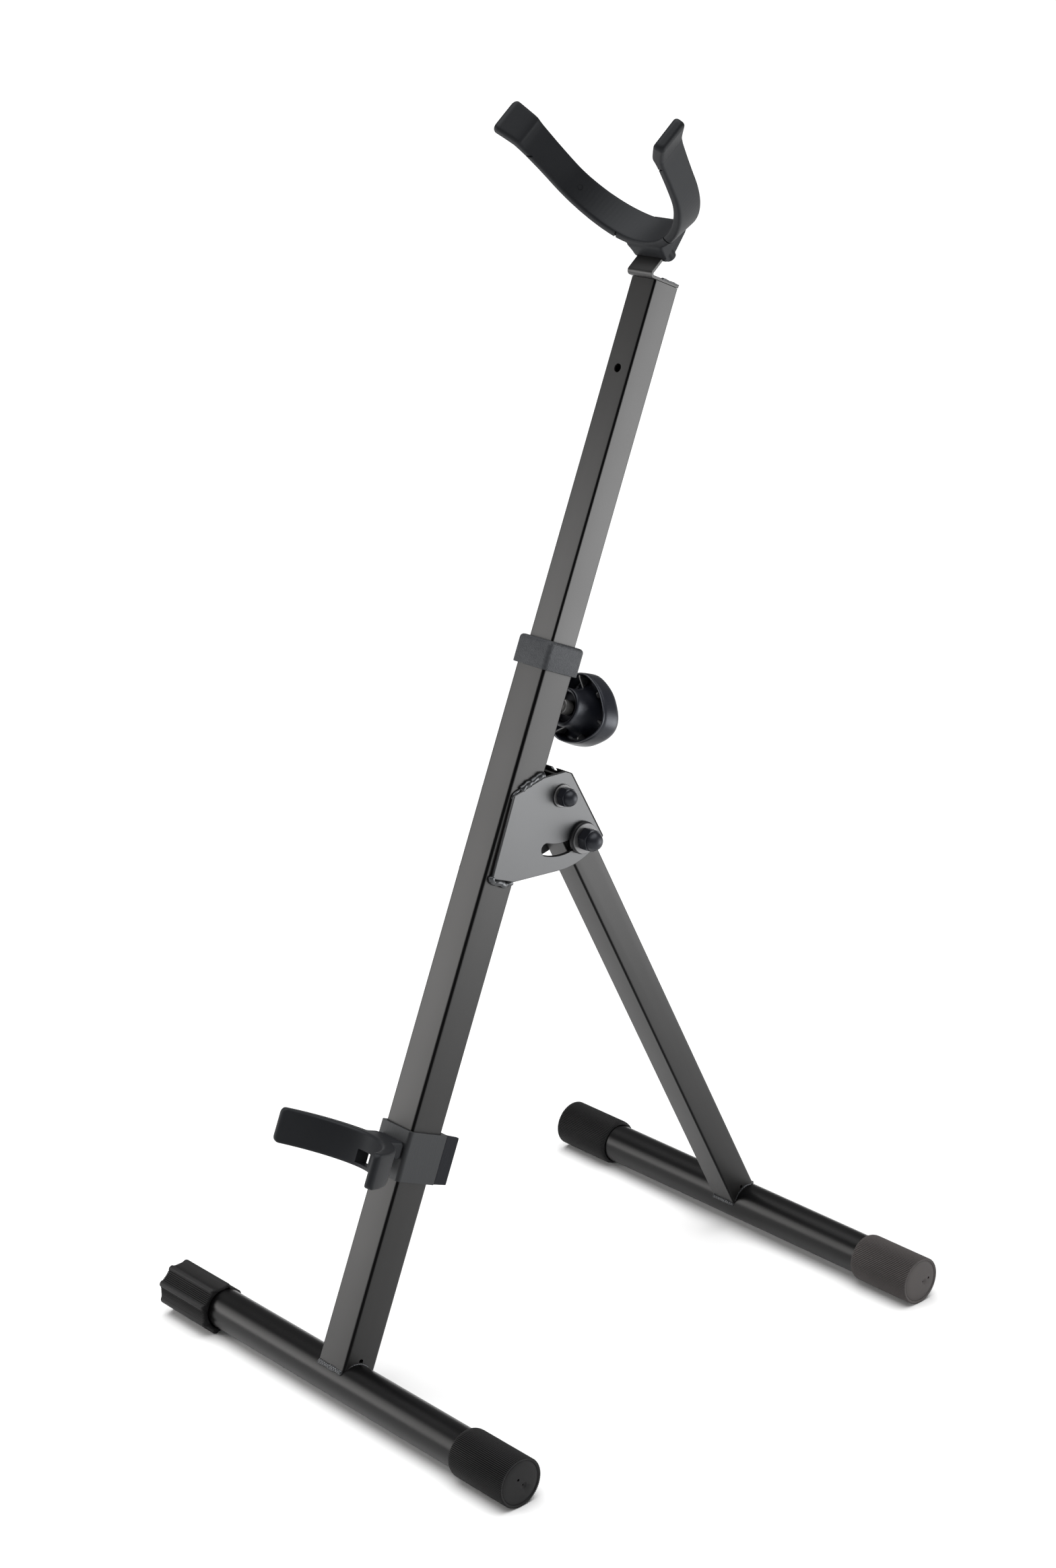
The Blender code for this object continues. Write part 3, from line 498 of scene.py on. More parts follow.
def make_tubes():
    # Every tube's rounded corners take the painted dark reflection.
    corners = (DARK_REFLECTION_PAINT, on_corner)
    foot_rule = saddle_rule(UPRIGHT, FRONT_FOOT, UPRIGHT_LOWEST)
    tube = square_tube(OUTER_SIDE, OUTER_ROUND, foot_rule, OUTER_TOP)
    holes = [drill((0.0, 0.0, KNOB_STATION), 0.0043, 0.010, 0.020, "Y"),
             drill((0.0, -0.0008, 0.0173), 0.0019, 0.010, 0.020, "X", 24)]
    # The outer tube wears the copy of the black paint that carries painted shade.
    skin("outer_tube", tube, SHADED_LOWER_PAINT, "upright", UPRIGHT, cuts=holes, second=corners)
    tube = square_tube(INNER_SIDE, INNER_ROUND, lambda x, y: INNER_BOTTOM, INNER_TOP)
    holes = [drill((0.0, 0.0, MAST_HOLE), 0.0033, -0.020, 0.0, "Y")]
    skin("inner_tube", tube, PAINT, "mast", UPRIGHT, cuts=holes, second=corners)
    leg_rule = saddle_rule(LEG, REAR_FOOT, -LEG_LENGTH)
    tube = square_tube(INNER_SIDE, INNER_ROUND, leg_rule, LEG_ABOVE_PIVOT)
    holes = [drill((0.0, 0.0, height), radius, -0.020, 0.020, "X")
             for height, radius in ((0.0, 0.0048), (-LOCK_RADIUS, 0.0063))]
    vent = LEG.inverted() @ REAR_FOOT @ Vector((0.0125, -0.0067, 0.0144))
    vent_height = max(vent.z, -LEG_LENGTH + 0.0185)
    holes.append(drill((0.0, vent.y, vent_height), 0.0014, 0.008, 0.020, "X", 24))
    # The rear leg wears the same copy of the black paint that carries painted shade.
    place("rear_leg_skin", tube, SHADED_LOWER_PAINT, "rear_leg", LEG, ["rear_leg_tube"], cuts=holes,
          second=corners)


def make_foot_tubes():
    half = FOOT_HALF_LENGTH - CAP_FLOOR
    for name, body, matrix in (("front_foot_tube", "upright", FRONT_FOOT),
                               ("rear_foot_tube", "rear_leg", REAR_FOOT)):
        inside = FOOT_TUBE_RADIUS - TUBE_WALL
        profile = [(FOOT_TUBE_RADIUS, -half), (FOOT_TUBE_RADIUS, half),
                   (inside, half), (inside, -half)]
        # Both foot tubes wear the darker copy of the black paint, a painted shade.
        skin(name, ring_turned(profile), SHADED_FOOT_PAINT, body, matrix)


def make_saddle_welds():
    """Beads where the upright and the leg stand on the round tubes."""
    for name, body, tube_frame, foot_frame, side, least in (
            ("upright_weld", "upright", UPRIGHT, FRONT_FOOT, OUTER_SIDE, UPRIGHT_LOWEST),
            ("leg_weld", "rear_leg", LEG, REAR_FOOT, INNER_SIDE, -LEG_LENGTH)):
        rule = saddle_rule(tube_frame, foot_frame, least)
        half = side / 2
        for word, y in (("front", -half + 0.0004), ("back", half - 0.0004)):
            path = [(x * half, y, rule(x * half, y) - 0.0004)
                    for x in (-0.92, -0.6, -0.2, 0.2, 0.6, 0.92)]
            weld_bead(name + "_" + word, path, 0.0021, body, tube_frame, seed=3.0 + y * 100)
        for word, x in (("right", half - 0.0007), ("left", -half + 0.0007)):
            path = [(x, y * half, rule(x, y * half) - 0.0002)
                    for y in (-0.85, -0.45, 0.0, 0.45, 0.85)]
            weld_bead(name + "_" + word, path, 0.0012, body, tube_frame, seed=7.0 + x * 100)


# Foot caps
def ribbed_ring(radius, depth, ribs, per_rib):
    """A round outline of ribs with a rounded groove between each two."""
    groove_share = 0.62
    points = []
    for k in range(ribs * per_rib):
        place_in_rib = (k % per_rib) / per_rib
        from_groove = abs(place_in_rib - 0.5) * 2
        dip = depth * max(0.0, 1.0 - (1.0 - from_groove) / groove_share) ** 0.7
        angle = 2 * math.pi * k / (ribs * per_rib)
        points.append(((radius - dip) * math.cos(angle), (radius - dip) * math.sin(angle)))
    return points


def make_round_caps():
    """Ribbed rubber caps. Each end disc has an off-centre moulding dimple and a small vent."""
    ribs, per_rib, depth = 88, 8, 0.0009
    mouth = FOOT_HALF_LENGTH - CAP_LENGTH
    end = FOOT_HALF_LENGTH
    stations = [(mouth + 0.0040, 0.0160, 0.0), (mouth + 0.0002, 0.0160, 0.0), (mouth, 0.0164, 0.2),
                (mouth + 0.0001, 0.0170, 0.7), (mouth + 0.0006, 0.0176, 1.0),
                (mouth + 0.0016, 0.0182, 1.0), (mouth + 0.0030, 0.0186, 1.0),
                (mouth + 0.0048, FOOT_HEIGHT, 1.0),
                (end - 0.0006, FOOT_HEIGHT, 1.0), (end - 0.0003, FOOT_HEIGHT - 0.0003, 0.95),
                (end - 0.0002, FOOT_HEIGHT - 0.0006, 0.6), (end - 0.0003, 0.0172, 0.0),
                (end - 0.0007, 0.0166, 0.0), (end - 0.0011, 0.0163, 0.0),
                (end - 0.0009, 0.0160, 0.0), (end - 0.0006, 0.0154, 0.0),
                (end - 0.0003, 0.0120, 0.0), (end - 0.0001, 0.0060, 0.0), (end, 0.0002, 0.0)]
    for name, body, matrix, side, dimple, vent in (
            ("front_right_cap", "upright", FRONT_FOOT, 1, (0.0026, -0.0027), (-0.0022, 0.0034)),
            ("rear_right_cap", "rear_leg", REAR_FOOT, 1, (0.0036, -0.0020), (0.0092, -0.0004)),
            ("rear_left_cap", "rear_leg", REAR_FOOT, -1, (0.0036, -0.0020), (0.0092, -0.0004))):
        rings = [[turned_to("X", point, side * x)
                  for point in ribbed_ring(r, depth * share, ribs, per_rib)]
                 for x, r, share in stations]
        cup = turned([(0.0028, side * (end + 0.0010)), (0.0028, side * (end - 0.0001)),
                      (0.0022, side * (end - 0.0005)), (0.0012, side * (end - 0.0009)),
                      (0.0006, side * (end - 0.0010)), (0.0005, side * (end - 0.0022))], "X", 48)
        hole = turned([(0.0010, side * (end + 0.0010)), (0.0010, side * (end - 0.0030))], "X", 24)
        cuts = [at(moved(0.0, *dimple), cup), at(moved(0.0, *vent), hole)]
        # The rear right cap takes the lighter rubber as painted light.
        paint = LIT_CAP_RUBBER if name == "rear_right_cap" else RUBBER
        skin(name, lofted(rings), paint, body, matrix, smooth=50, cuts=cuts)


def make_levelling_cap():
    """Eight rounded corners, hollow facets with fine ribs, and a bore that is off the centre."""
    outline = []
    corner_dip, facet_dip = 0.0022 * 0.20, 0.0010
    rib_depth, rib_pitch = 0.0010, 4.5
    steps = 90
    for facet in range(8):
        for k in range(steps):
            offset = -22.5 + 45.0 * k / steps
            reach = LEVEL_FLAT / math.cos(math.radians(offset))
            from_corner = (22.5 - abs(offset)) / 22.5
            soften = corner_dip * max(0.0, 1.0 - from_corner * 5.0) ** 2
            dip = facet_dip * math.sin(math.pi * min(1.0, from_corner / 0.62) / 2) ** 2
            rib = 0.0
            if from_corner > 0.25:
                rib = -rib_depth * abs(2.0 * ((offset / rib_pitch) % 1.0) - 1.0)
            angle = math.radians(facet * 45.0 + offset)
            size = reach - soften - dip + rib
            outline.append((size * math.cos(angle), size * math.sin(angle)))
    rise = LEVEL_FLAT - FOOT_HEIGHT
    outer = -FOOT_HALF_LENGTH - LEVEL_OVERHANG
    mouth = outer + LEVEL_LENGTH
    rings = []
    for x, share in ((outer, 0.02), (outer, 0.78), (outer + 0.0006, 0.80), (outer + 0.0002, 0.84),
                     (outer + 0.0002, 0.95), (outer + 0.0010, 0.99), (outer + 0.0020, 1.0),
                     (mouth - 0.0014, 1.0), (mouth - 0.0004, 0.985), (mouth, 0.96), (mouth, 0.90)):
        rings.append([(x, y * share - LEVEL_FORWARD, z * share + rise) for y, z in outline])
    count = len(outline)
    turns = [2 * math.pi * (k / count) - math.pi / 8 for k in range(count)]
    for x, radius in ((mouth - 0.0003, 0.0165), (mouth - 0.0010, 0.0160),
                      (mouth - 0.0040, 0.0160)):
        rings.append([(x, radius * math.cos(turn), radius * math.sin(turn)) for turn in turns])
    skin("levelling_cap", lofted(rings), RUBBER, "levelling_foot", FRONT_FOOT, smooth=50)


# Hinge bracket and its hardware
def make_bracket():
    pivot = (PIVOT_BEHIND, PIVOT_STATION)
    outline = [(-0.0098, 0.3847), (-0.0113, 0.4468), (-0.0063, 0.4506), (0.0121, 0.4645),
               (0.0321, 0.4727), (0.0403, 0.4726), (0.0894, 0.4331)]
    outline += arc(pivot, 0.0578, -28.0, -68.0, 24) + [(0.0118, 0.3854)]
    body = prism(outline, -CHEEK_OUTSIDE, CHEEK_OUTSIDE, "X")
    fold_a, fold_b = Vector(outline[5]), Vector(outline[6])
    folds = []
    for edge in body.edges:
        ends = sorted(edge.verts, key=lambda v: v.co.z, reverse=True)
        if all((Vector(v.co.yz) - c).length < 1e-6 for v, c in zip(ends, (fold_a, fold_b))):
            folds.append(edge)
    bmesh.ops.bevel(body, geom=folds, offset=0.0022, segments=5, profile=0.5, affect="EDGES")
    inside = CHEEK_OUTSIDE - SHEET
    to_leg = UPRIGHT.inverted() @ LEG
    channel = [(-0.140, -0.130), (WEB_INSIDE, -0.130), (WEB_INSIDE, 0.080), (-0.140, 0.080)]
    first, last = -90.0 - FOLD_ANGLE - 0.3, -90.0 + 0.3
    slot_path = arc((0.0, 0.0), LOCK_RADIUS, first, last, 40)
    half = 0.0045
    outer = [tuple(Vector(p) * (1 + half / LOCK_RADIUS)) for p in slot_path]
    inner = [tuple(Vector(p) * (1 - half / LOCK_RADIUS)) for p in slot_path]
    slot = (outer + arc(slot_path[-1], half, last, last + 180.0, 16)[1:-1] + inner[::-1]
            + arc(slot_path[0], half, first + 180.0, first + 360.0, 16)[1:-1])
    cuts = [at(to_leg, prism(channel, -inside, inside, "X")),
            at(to_leg, prism(circle(0.0034), -0.030, 0.030, "X")),
            at(to_leg, prism(slot, -0.030, 0.030, "X")),
            prism([(0.0280, 0.4706), (0.0450, 0.4706), (0.0450, 0.4770), (0.0280, 0.4770)],
                  -0.0040, 0.0015, "X")]

    def on_fold(normal, centre):
        """The rounded edge where a cheek turns into the sloping web, which takes the painted dark
        reflection.
        """
        outward = 0.627 * normal.y + 0.779 * normal.z
        return 0.30 < abs(normal.x) < 0.995 and outward > 0.09 and centre.y > 0.0330

    # The bracket wears the lighter copy of the black paint as painted light; its fold takes the
    # painted dark reflection.
    skin("hinge_bracket", body, LIT_BRACKET_PAINT, "upright", UPRIGHT, cuts=cuts, rounding=0.0007,
         smooth=40, second=(DARK_REFLECTION_PAINT, on_fold))
    for word, side in (("right", 1), ("left", -1)):
        x = side * (OUTER_SIDE / 2 + 0.0008)
        low = [(x, -0.0098, 0.3868), (x, -0.0086, 0.3838), (x, -0.0055, 0.3824),
               (x, -0.0005, 0.3830), (x, 0.0045, 0.3820), (x, 0.0090, 0.3836),
               (x, 0.0126, 0.3852)]
        weld_bead("bracket_weld_low_" + word, low, 0.0028, "upright", UPRIGHT, 0.0064,
                  1.0 + side, lumps=0.12, clear=WELD_CLEAR)
        high = [(x, -0.0056, 0.4512), (x, -0.0022, 0.4552), (x, 0.0022, 0.4588),
                (x, 0.0062, 0.4620), (x, 0.0104, 0.4652), (x, 0.0136, 0.4664)]
        weld_bead("bracket_weld_high_" + word, high, 0.0030, "upright", UPRIGHT, 0.0058,
                  5.0 + side, lumps=0.12, clear=WELD_CLEAR)
        seam = [(x, -0.0112, 0.4440), (x, -0.0104, 0.4478), (x, -0.0076, 0.4506),
                (x, -0.0030, 0.4540)]
        weld_bead("bracket_seam_" + word, seam, 0.0009, "upright", UPRIGHT, 0.0046,
                  9.0 + side, clear=WELD_CLEAR)


def domed_nut(name, flats, reach, height, matrix):
    """A hexagonal nut with chamfered corners, a shoulder and a domed cap."""
    across = flats / 2 / math.cos(math.radians(30))
    shape = []
    for k in range(6):
        for t in range(-8, 8):
            off = 30 * t / 8
            angle = math.radians(60 * k + off)
            edge = flats / 2 / math.cos(math.radians(30 - abs(off)))
            shape.append((Vector((math.cos(angle), math.sin(angle))), min(edge, across * 0.985)))
    dome = flats * 0.47
    stations = [(0.0, 0.2), (0.0, 0.93), (0.0004, 0.98), (0.0011, 1.0),
                (height * 0.78, 1.0), (height * 0.90, 0.985), (height, 0.93)]
    rings = []
    for x, share in stations:
        limit = across * share
        rings.append([(reach + x, d.x * min(r, limit), d.y * min(r, limit)) for d, r in shape])
    angles = [0.0, 0.10, 0.22, 0.36, 0.52, 0.70, 0.88, 1.06, 1.24, 1.40, 1.52]
    rings.append([(reach + height + 0.0002, d.x * dome * 1.02, d.y * dome * 1.02)
                  for d, _ in shape])
    for a in angles:
        rings.append([(reach + height + dome * math.sin(a), d.x * dome * math.cos(a),
                       d.y * dome * math.cos(a)) for d, _ in shape])
    skin(name, lofted(rings), GLOSS, "rear_leg", matrix, smooth=32)


def ring_pair(node, paint, bore, rim, reach, thick, near_edge, far_edge, spot):
    """Two rings on a bolt, one outside each cheek, with their rims chamfered."""
    for side, word in ((1, "right"), (-1, "left")):
        low, high = sorted((side * reach, side * (reach + thick)))
        profile = [(bore, low), (rim - near_edge, low), (rim, low + near_edge),
                   (rim, high - far_edge), (rim - far_edge, high), (bore, high)]
        skin(node + "_" + word, ring_turned(profile), paint, "rear_leg", spot)


def make_hinge_hardware():
    """Each bolt with its domed nut and washers. The lock bolt has friction discs under them."""
    washer, disc = 0.0014, 0.0030
    for name, height, bolt_radius, washer_radius, flats, nut_turn, has_discs in (
            ("pivot", 0.0, 0.0030, 0.0088, 0.0130, 20, False),
            ("lock", -LOCK_RADIUS, 0.0040, 0.0117, 0.0157, 12, True)):
        spot = frame_at((0.0, 0.0, height), 0.0, LEG)
        reach = CHEEK_OUTSIDE + FIT_GAP
        bore = bolt_radius + FIT_GAP
        if has_discs:
            ring_pair("lock_disc", NYLON, bore, washer_radius + 0.0007, reach, disc,
                      0.0005, 0.0008, spot)
            reach += disc + FIT_GAP
        ring_pair(name + "_washer", ZINC, bore, washer_radius, reach, washer,
                  0.0003, 0.0003, spot)
        reach += washer + FIT_GAP
        nut_height = flats * 0.48
        turn = spot @ Matrix.Rotation(math.radians(nut_turn), 4, "X")
        domed_nut(name + "_nut", flats, reach, nut_height, turn)
        head = flats * 0.42
        top = head * 1.5
        tip = reach + nut_height * 0.8
        dome = [(top * math.cos(a), -reach - head * (0.25 + 0.75 * math.sin(a)))
                for a in (1.5, 1.3, 1.1, 0.9, 0.7, 0.5, 0.3, 0.1)]
        profile = dome + [(top, -reach - head * 0.2), (top, -reach), (bolt_radius, -reach),
                          (bolt_radius, tip), (0.0, tip)]
        skin(name + "_bolt", turned(profile), GLOSS, "rear_leg", spot)


# Height clamp
def make_collar():
    """A moulded collar whose upper edges are broadly rounded."""
    half, radius = COLLAR_SIDE / 2, 0.0040
    rings = []
    for z, inset in ((COLLAR_BOTTOM, 0.0005), (COLLAR_BOTTOM + 0.0003, 0.0001),
                     (COLLAR_BOTTOM + 0.0008, 0.0), (COLLAR_TOP - 0.0030, 0.0),
                     (COLLAR_TOP - 0.0019, 0.0002), (COLLAR_TOP - 0.0010, 0.0007),
                     (COLLAR_TOP - 0.0003, 0.0016), (COLLAR_TOP, 0.0028)):
        rings.append([(x, y, z)
                      for x, y in rounded_square(2 * (half - inset), radius - inset * 0.5)])
    mouth = INNER_SIDE / 2 + FIT_GAP
    rings.append([(x, y, COLLAR_TOP) for x, y in rounded_square(2 * mouth + 0.0006, 0.0023)])
    rings.append([(x, y, COLLAR_TOP - 0.0004) for x, y in rounded_square(2 * mouth, 0.0022)])
    rings.append([(x, y, OUTER_TOP + FIT_GAP) for x, y in rounded_square(2 * mouth, 0.0022)])
    fit = OUTER_SIDE + 2 * FIT_GAP
    rings.append([(x, y, OUTER_TOP + FIT_GAP) for x, y in rounded_square(fit, 0.0028)])
    rings.append([(x, y, COLLAR_BOTTOM) for x, y in rounded_square(fit, 0.0028)])
    skin("height_collar", lofted(rings, along=True), COLLAR, "upright", UPRIGHT, smooth=40)


def knob_ring(distance, mean_radius, lobe):
    """One three-lobed ring of the knob."""
    count = 192
    ring = []
    for k in range(count):
        angle = 2 * math.pi * k / count
        wave = 0.16 + 0.84 * math.cos(3 * angle) + 0.15 * math.cos(6 * angle)
        radius = mean_radius + lobe * wave
        ring.append((radius * math.cos(angle), distance, radius * math.sin(angle)))
    return ring


def make_knob():
    grip = CLAMP @ Matrix.Rotation(math.radians(10), 4, "Y")
    stations = ((0.0343, 0.0043, 0.0), (0.0205, 0.0043, 0.0), (0.0201, 0.0047, 0.0),
                (0.0200, 0.0060, 0.0), (0.0200, 0.0104, 0.0), (0.0196, 0.0109, 0.0),
                (0.0188, 0.0112, 0.0), (0.0150, 0.0114, 0.0), (0.0141, 0.0119, 0.0),
                (0.0136, 0.0127, 0.0), (0.0136, 0.0139, 0.0),
                (0.0141, 0.0144, 0.0), (0.0165, 0.0145, 0.0), (0.0205, 0.0146, 0.0),
                (0.0245, 0.0150, 0.0), (0.0285, 0.0157, 0.0), (0.0320, 0.0166, 0.0002),
                (0.0350, 0.0178, 0.0006), (0.0372, 0.0193, 0.0012), (0.0385, 0.0211, 0.0018),
                (0.0380, 0.0226, 0.0022), (0.0350, 0.0233, 0.0024), (0.0296, 0.0242, 0.0025),
                (0.0290, 0.0245, 0.0025), (0.0287, 0.0250, 0.0025), (0.0290, 0.0255, 0.0025),
                (0.0296, 0.0256, 0.0025), (0.0300, 0.0253, 0.0025), (0.0304, 0.0253, 0.0025),
                (0.0310, 0.0257, 0.0025), (0.0330, 0.0260, 0.0025), (0.0370, 0.0263, 0.0026),
                (0.0410, 0.0265, 0.0026), (0.0428, 0.0264, 0.0026), (0.0443, 0.0259, 0.0026),
                (0.0456, 0.0250, 0.0025), (0.0466, 0.0237, 0.0023), (0.0473, 0.0215, 0.0019),
                (0.0478, 0.0180, 0.0013), (0.0480, 0.0130, 0.0006), (0.0480, 0.0020, 0.0))
    rings = [knob_ring(*station) for station in stations]

    # Faces in the hub's recess, which take the painted shade.
    def in_hub(_, centre):
        return math.hypot(centre.x, centre.z) < 0.0113 and centre.y < 0.0206

    skin("clamp_knob", lofted(rings), KNOB, "knob", grip, smooth=50, second=(HUB_SHADE, in_hub))
    # Six fins inside the knob, in light grey as a painted highlight.
    for k in range(6):
        angle = 2 * math.pi * k / 6
        wall = 0.0236 + 0.0024 * math.cos(3 * angle)
        fin = [(0.0150, 0.0395), (0.0165, 0.0350), (wall - 0.0012, 0.0303),
               (wall + 0.0006, 0.0300), (wall + 0.0006, 0.0395)]
        shape = lofted([[(r, n, t) for r, n in fin] for t in (-0.0006, 0.0006)])
        turn = grip @ Matrix.Rotation(-angle, 4, "Y")
        place("knob_fin_%d" % (k + 1), shape, FIN_HIGHLIGHT, "knob", turn, rounding=0.0001)


def make_clamp_screw():
    profile = [(0.0, FIT_GAP), (0.0036, FIT_GAP), (0.0040, 0.0008)]
    pitch = 0.00125
    turns = 6
    for k in range(turns):
        start = 0.0020 + k * pitch
        profile += [(0.0040, start), (0.0034, start + pitch / 2)]
    profile += [(0.0040, 0.0102), (0.0040, 0.0105), (0.0053, 0.0112), (0.0056, 0.0117),
                (0.0056, 0.0190), (0.0040, 0.0194), (0.0040, 0.0340), (0.0, 0.0340)]
    # The clamp screw wears the light grey steel as painted light.
    skin("clamp_screw", turned(profile, "Y"), LIT_SCREW_STEEL, "knob", CLAMP, smooth=25)
    profile = [(0.0070, FIT_GAP), (0.0070, 0.0054), (0.0066, 0.0060), (0.0048, 0.0060),
               (0.0044, 0.0056), (0.0044, FIT_GAP)]
    skin("clamp_nut", ring_turned(profile, "Y"), ZINC, "upright", CLAMP)


# Cradle and its tab
def make_tab():
    """The folded steel strip, with its edges eased, and the weld along the inner tube's top."""
    thick = 0.0023
    flange_height = INNER_TOP + FIT_GAP + thick / 2
    rise_angle = math.pi / 2 - UPRIGHT_LEAN - CRADLE_LEAN
    up_y, up_z = math.sin(rise_angle), math.cos(rise_angle)
    below = 0.0120
    on_line = (-CRADLE_FORWARD + up_z * below, CRADLE_STATION - up_y * below)
    drop = (on_line[1] - flange_height) / up_z
    fold = (on_line[0] - up_y * drop, flange_height)
    turn = math.pi / 2 + rise_angle
    bend_radius = 0.0022
    centre = (fold[0] + bend_radius * math.tan(turn / 2), fold[1] + bend_radius)
    bend = arc(centre, bend_radius, -90.0, -90.0 - math.degrees(turn), 20)
    end = (on_line[0] - up_y * 0.0015, on_line[1] - up_z * 0.0015)
    path = [Vector(p) for p in [(INNER_SIDE / 2 - 0.0004, flange_height)] + bend + [end]]
    left, right = [], []
    for k, point in enumerate(path):
        ahead = (path[min(k + 1, len(path) - 1)] - path[max(k - 1, 0)]).normalized()
        across = Vector((-ahead.y, ahead.x)) * thick / 2
        left.append(tuple(point + across))
        right.append(tuple(point - across))
    strip = prism(left + right[::-1], -INNER_SIDE / 2, INNER_SIDE / 2, "X")
    skin("cradle_tab", strip, PAINT, "mast", UPRIGHT, rounding=0.0003, smooth=40)
    z = INNER_TOP + FIT_GAP + thick
    for word, x in (("right", 0.0123), ("left", -0.0123)):
        path = [(x, -0.0070, z), (x, -0.0020, z + 0.0001), (x, 0.0020, z - 0.0002),
                (x, 0.0060, z + 0.0001), (x, 0.0095, z - 0.0003), (x, 0.0122, z - 0.0002)]
        weld_bead("tab_weld_" + word, path, 0.0007, "mast", UPRIGHT, 0.0030, 11.0 + x * 100)


def swept_band(path, half_width, half_thick, radius, tip_radius, warp):
    """Sweep a rounded section along a flat path, its tips rounded over, then warp it."""
    lengths = [0.0]
    for a, b in zip(path, path[1:]):
        lengths.append(lengths[-1] + (b - a).length)
    total = lengths[-1]
    tip = [tip_radius * (1.0 - math.cos(math.pi / 2 * k / 8)) for k in range(9)]
    middle = [run for run in lengths if 1.3 * tip_radius < run < total - 1.3 * tip_radius]
    rings = []
    for run in tip + middle + [total - step for step in reversed(tip)]:
        k = max(i for i in range(len(path) - 1) if lengths[i] <= run)
        ahead = path[k + 1] - path[k]
        spot = path[k] + ahead * ((run - lengths[k]) / ahead.length)
        ahead = (path[min(k + 2, len(path) - 1)] - path[max(k - 1, 0)]).normalized()
        normal = Vector((-ahead.y, ahead.x))
        short = max(0.0, tip_radius - min(run, total - run))
        inset = tip_radius - math.sqrt(tip_radius ** 2 - short ** 2)
        ring = []
        rounded = radius * half_thick(spot) / half_thick(path[len(path) // 2])
        for w, t in rounded_section(half_width - inset, half_thick(spot) - inset * 0.8, rounded):
            flat = spot + normal * t
            ring.append(warp(flat.x, w, flat.y))
        rings.append(ring)
    return lofted(rings)


def make_cradle():
    """The forked cradle in its own frame, its arms rising from a base with a slot for the tab."""
    lip, lip_half, arm_half = 0.0900, 0.0045, 0.0033
    bowl = curve_between((0.0, -0.00325), (0.0290, -0.00325), (0.0541, 0.0246),
                         (0.0611, 0.0491), 24)
    upper = smooth_path([(0.0541, 0.0246), (0.0611, 0.0491), (0.0668, 0.0695), (0.0718, 0.0870),
                         (0.0738, 0.0918), (0.0852, 0.1054)], 8)
    half_path = [Vector(p) for p in bowl] + upper[9:]
    path = [Vector((-p.x, p.y)) for p in half_path[:0:-1]] + half_path

    def thickness(point):
        if point.y > lip + 0.002:
            return lip_half
        blend = min(1.0, max(0.0, (point.y - 0.082) / 0.010))
        low = arm_half + 0.0006 * max(0.0, 1.0 - point.y / 0.040)
        return low + (lip_half - low) * blend * blend * (3 - 2 * blend)

    def warp(x, y, z):
        waist = max(0.0, 1.0 - ((z - 0.053) / 0.052) ** 2)
        y += waist * (0.0030 if y < 0 else -0.0019) * min(1.0, abs(y) / 0.008)
        z -= y * 0.20 * max(0.0, 1.0 - max(z, 0.0) / 0.050)
        return x, y, z

    band = swept_band(path, CRADLE_HALF_WIDTH, thickness, 0.0023, 0.0038, warp)
    side = [(-0.0150, 0.0000), (-0.0150, -0.0120)]
    side += arc((-0.0100, -0.0120), 0.0050, 190.0, 290.0, 8)
    side += [(0.0114, -0.0120), (0.0180, -0.0095), (0.0180, -0.0050), (0.0100, -0.0030)]
    base = prism(side, -0.0170, 0.0170, "X")
    for vertex in base.verts:
        vertex.co.x *= 1.10 if vertex.co.z > -0.008 else 0.86
    bmesh.ops.bevel(base, geom=base.edges[:], offset=0.0018, segments=3, profile=0.5,
                    affect="EDGES")
    boss = turned([(0.0, -0.0182), (0.0036, -0.0182), (0.0043, -0.0178), (0.0046, -0.0170),
                   (0.0046, -0.0080), (0.0, -0.0080)], "Z", 48)
    boss = at(moved(0.0112, -0.0075, 0.0), boss)
    low, high = -0.0120 - 0.00145, -0.0120 + 0.00145
    cuts = [drill(CRADLE_PIN, 0.0023, -0.0300, -0.0082, "Z", 32),
            prism([(-0.0300, low), (-0.0010, low), (-0.0010, high), (-0.0300, high)],
                  -0.0128, 0.0128, "X")]
    for x, z, lean, edge in ((0.0700, 0.0812, 16.0, -0.0105), (-0.0680, 0.0780, -16.0, -0.0105),
                             (-0.0270, 0.0045, 50.0, -0.0112), (0.0300, 0.0062, -50.0, -0.0110)):
        inward = -1 if x > 0 else 1
        notch = prism([(-0.0016 * inward, -0.0008), (0.0055 * inward, -0.0008),
                       (0.0055 * inward, 0.0008), (-0.0016 * inward, 0.0008)],
                      -0.0185, edge, "Y")
        cuts.append(at(moved(x, 0.0, z) @ Matrix.Rotation(math.radians(-lean), 4, "Y"), notch))
    mark = ring_turned([(0.0017, -0.0036), (0.0021, -0.0036), (0.0021, 0.0012),
                        (0.0017, 0.0012)], "X", 48)
    cuts.append(at(moved(-0.0555, 0.0, 0.0355) @ Matrix.Rotation(math.radians(-26), 4, "Y")
                   @ moved(0.0068, 0.0, 0.0), mark))
    skin("bell_cradle", band, SOFT, "mast", CRADLE, joins=[base, boss], cuts=cuts, voxel=0.00055,
         relax=5, smooth=60)
    pin = [(0.0, -0.0165), (0.0016, -0.0165), (0.0020, -0.0161), (0.0020, -0.0085), (0.0, -0.0085)]
    skin("cradle_pin", turned(pin, "Z", 48), ZINC, "mast", CRADLE @ moved(*CRADLE_PIN))


# Lower support
def screw_bore():
    return drill((0.0, 0.0, SUPPORT_SCREW), SUPPORT_SCREW_BORE, -0.0300, 0.0, "Y", 32)


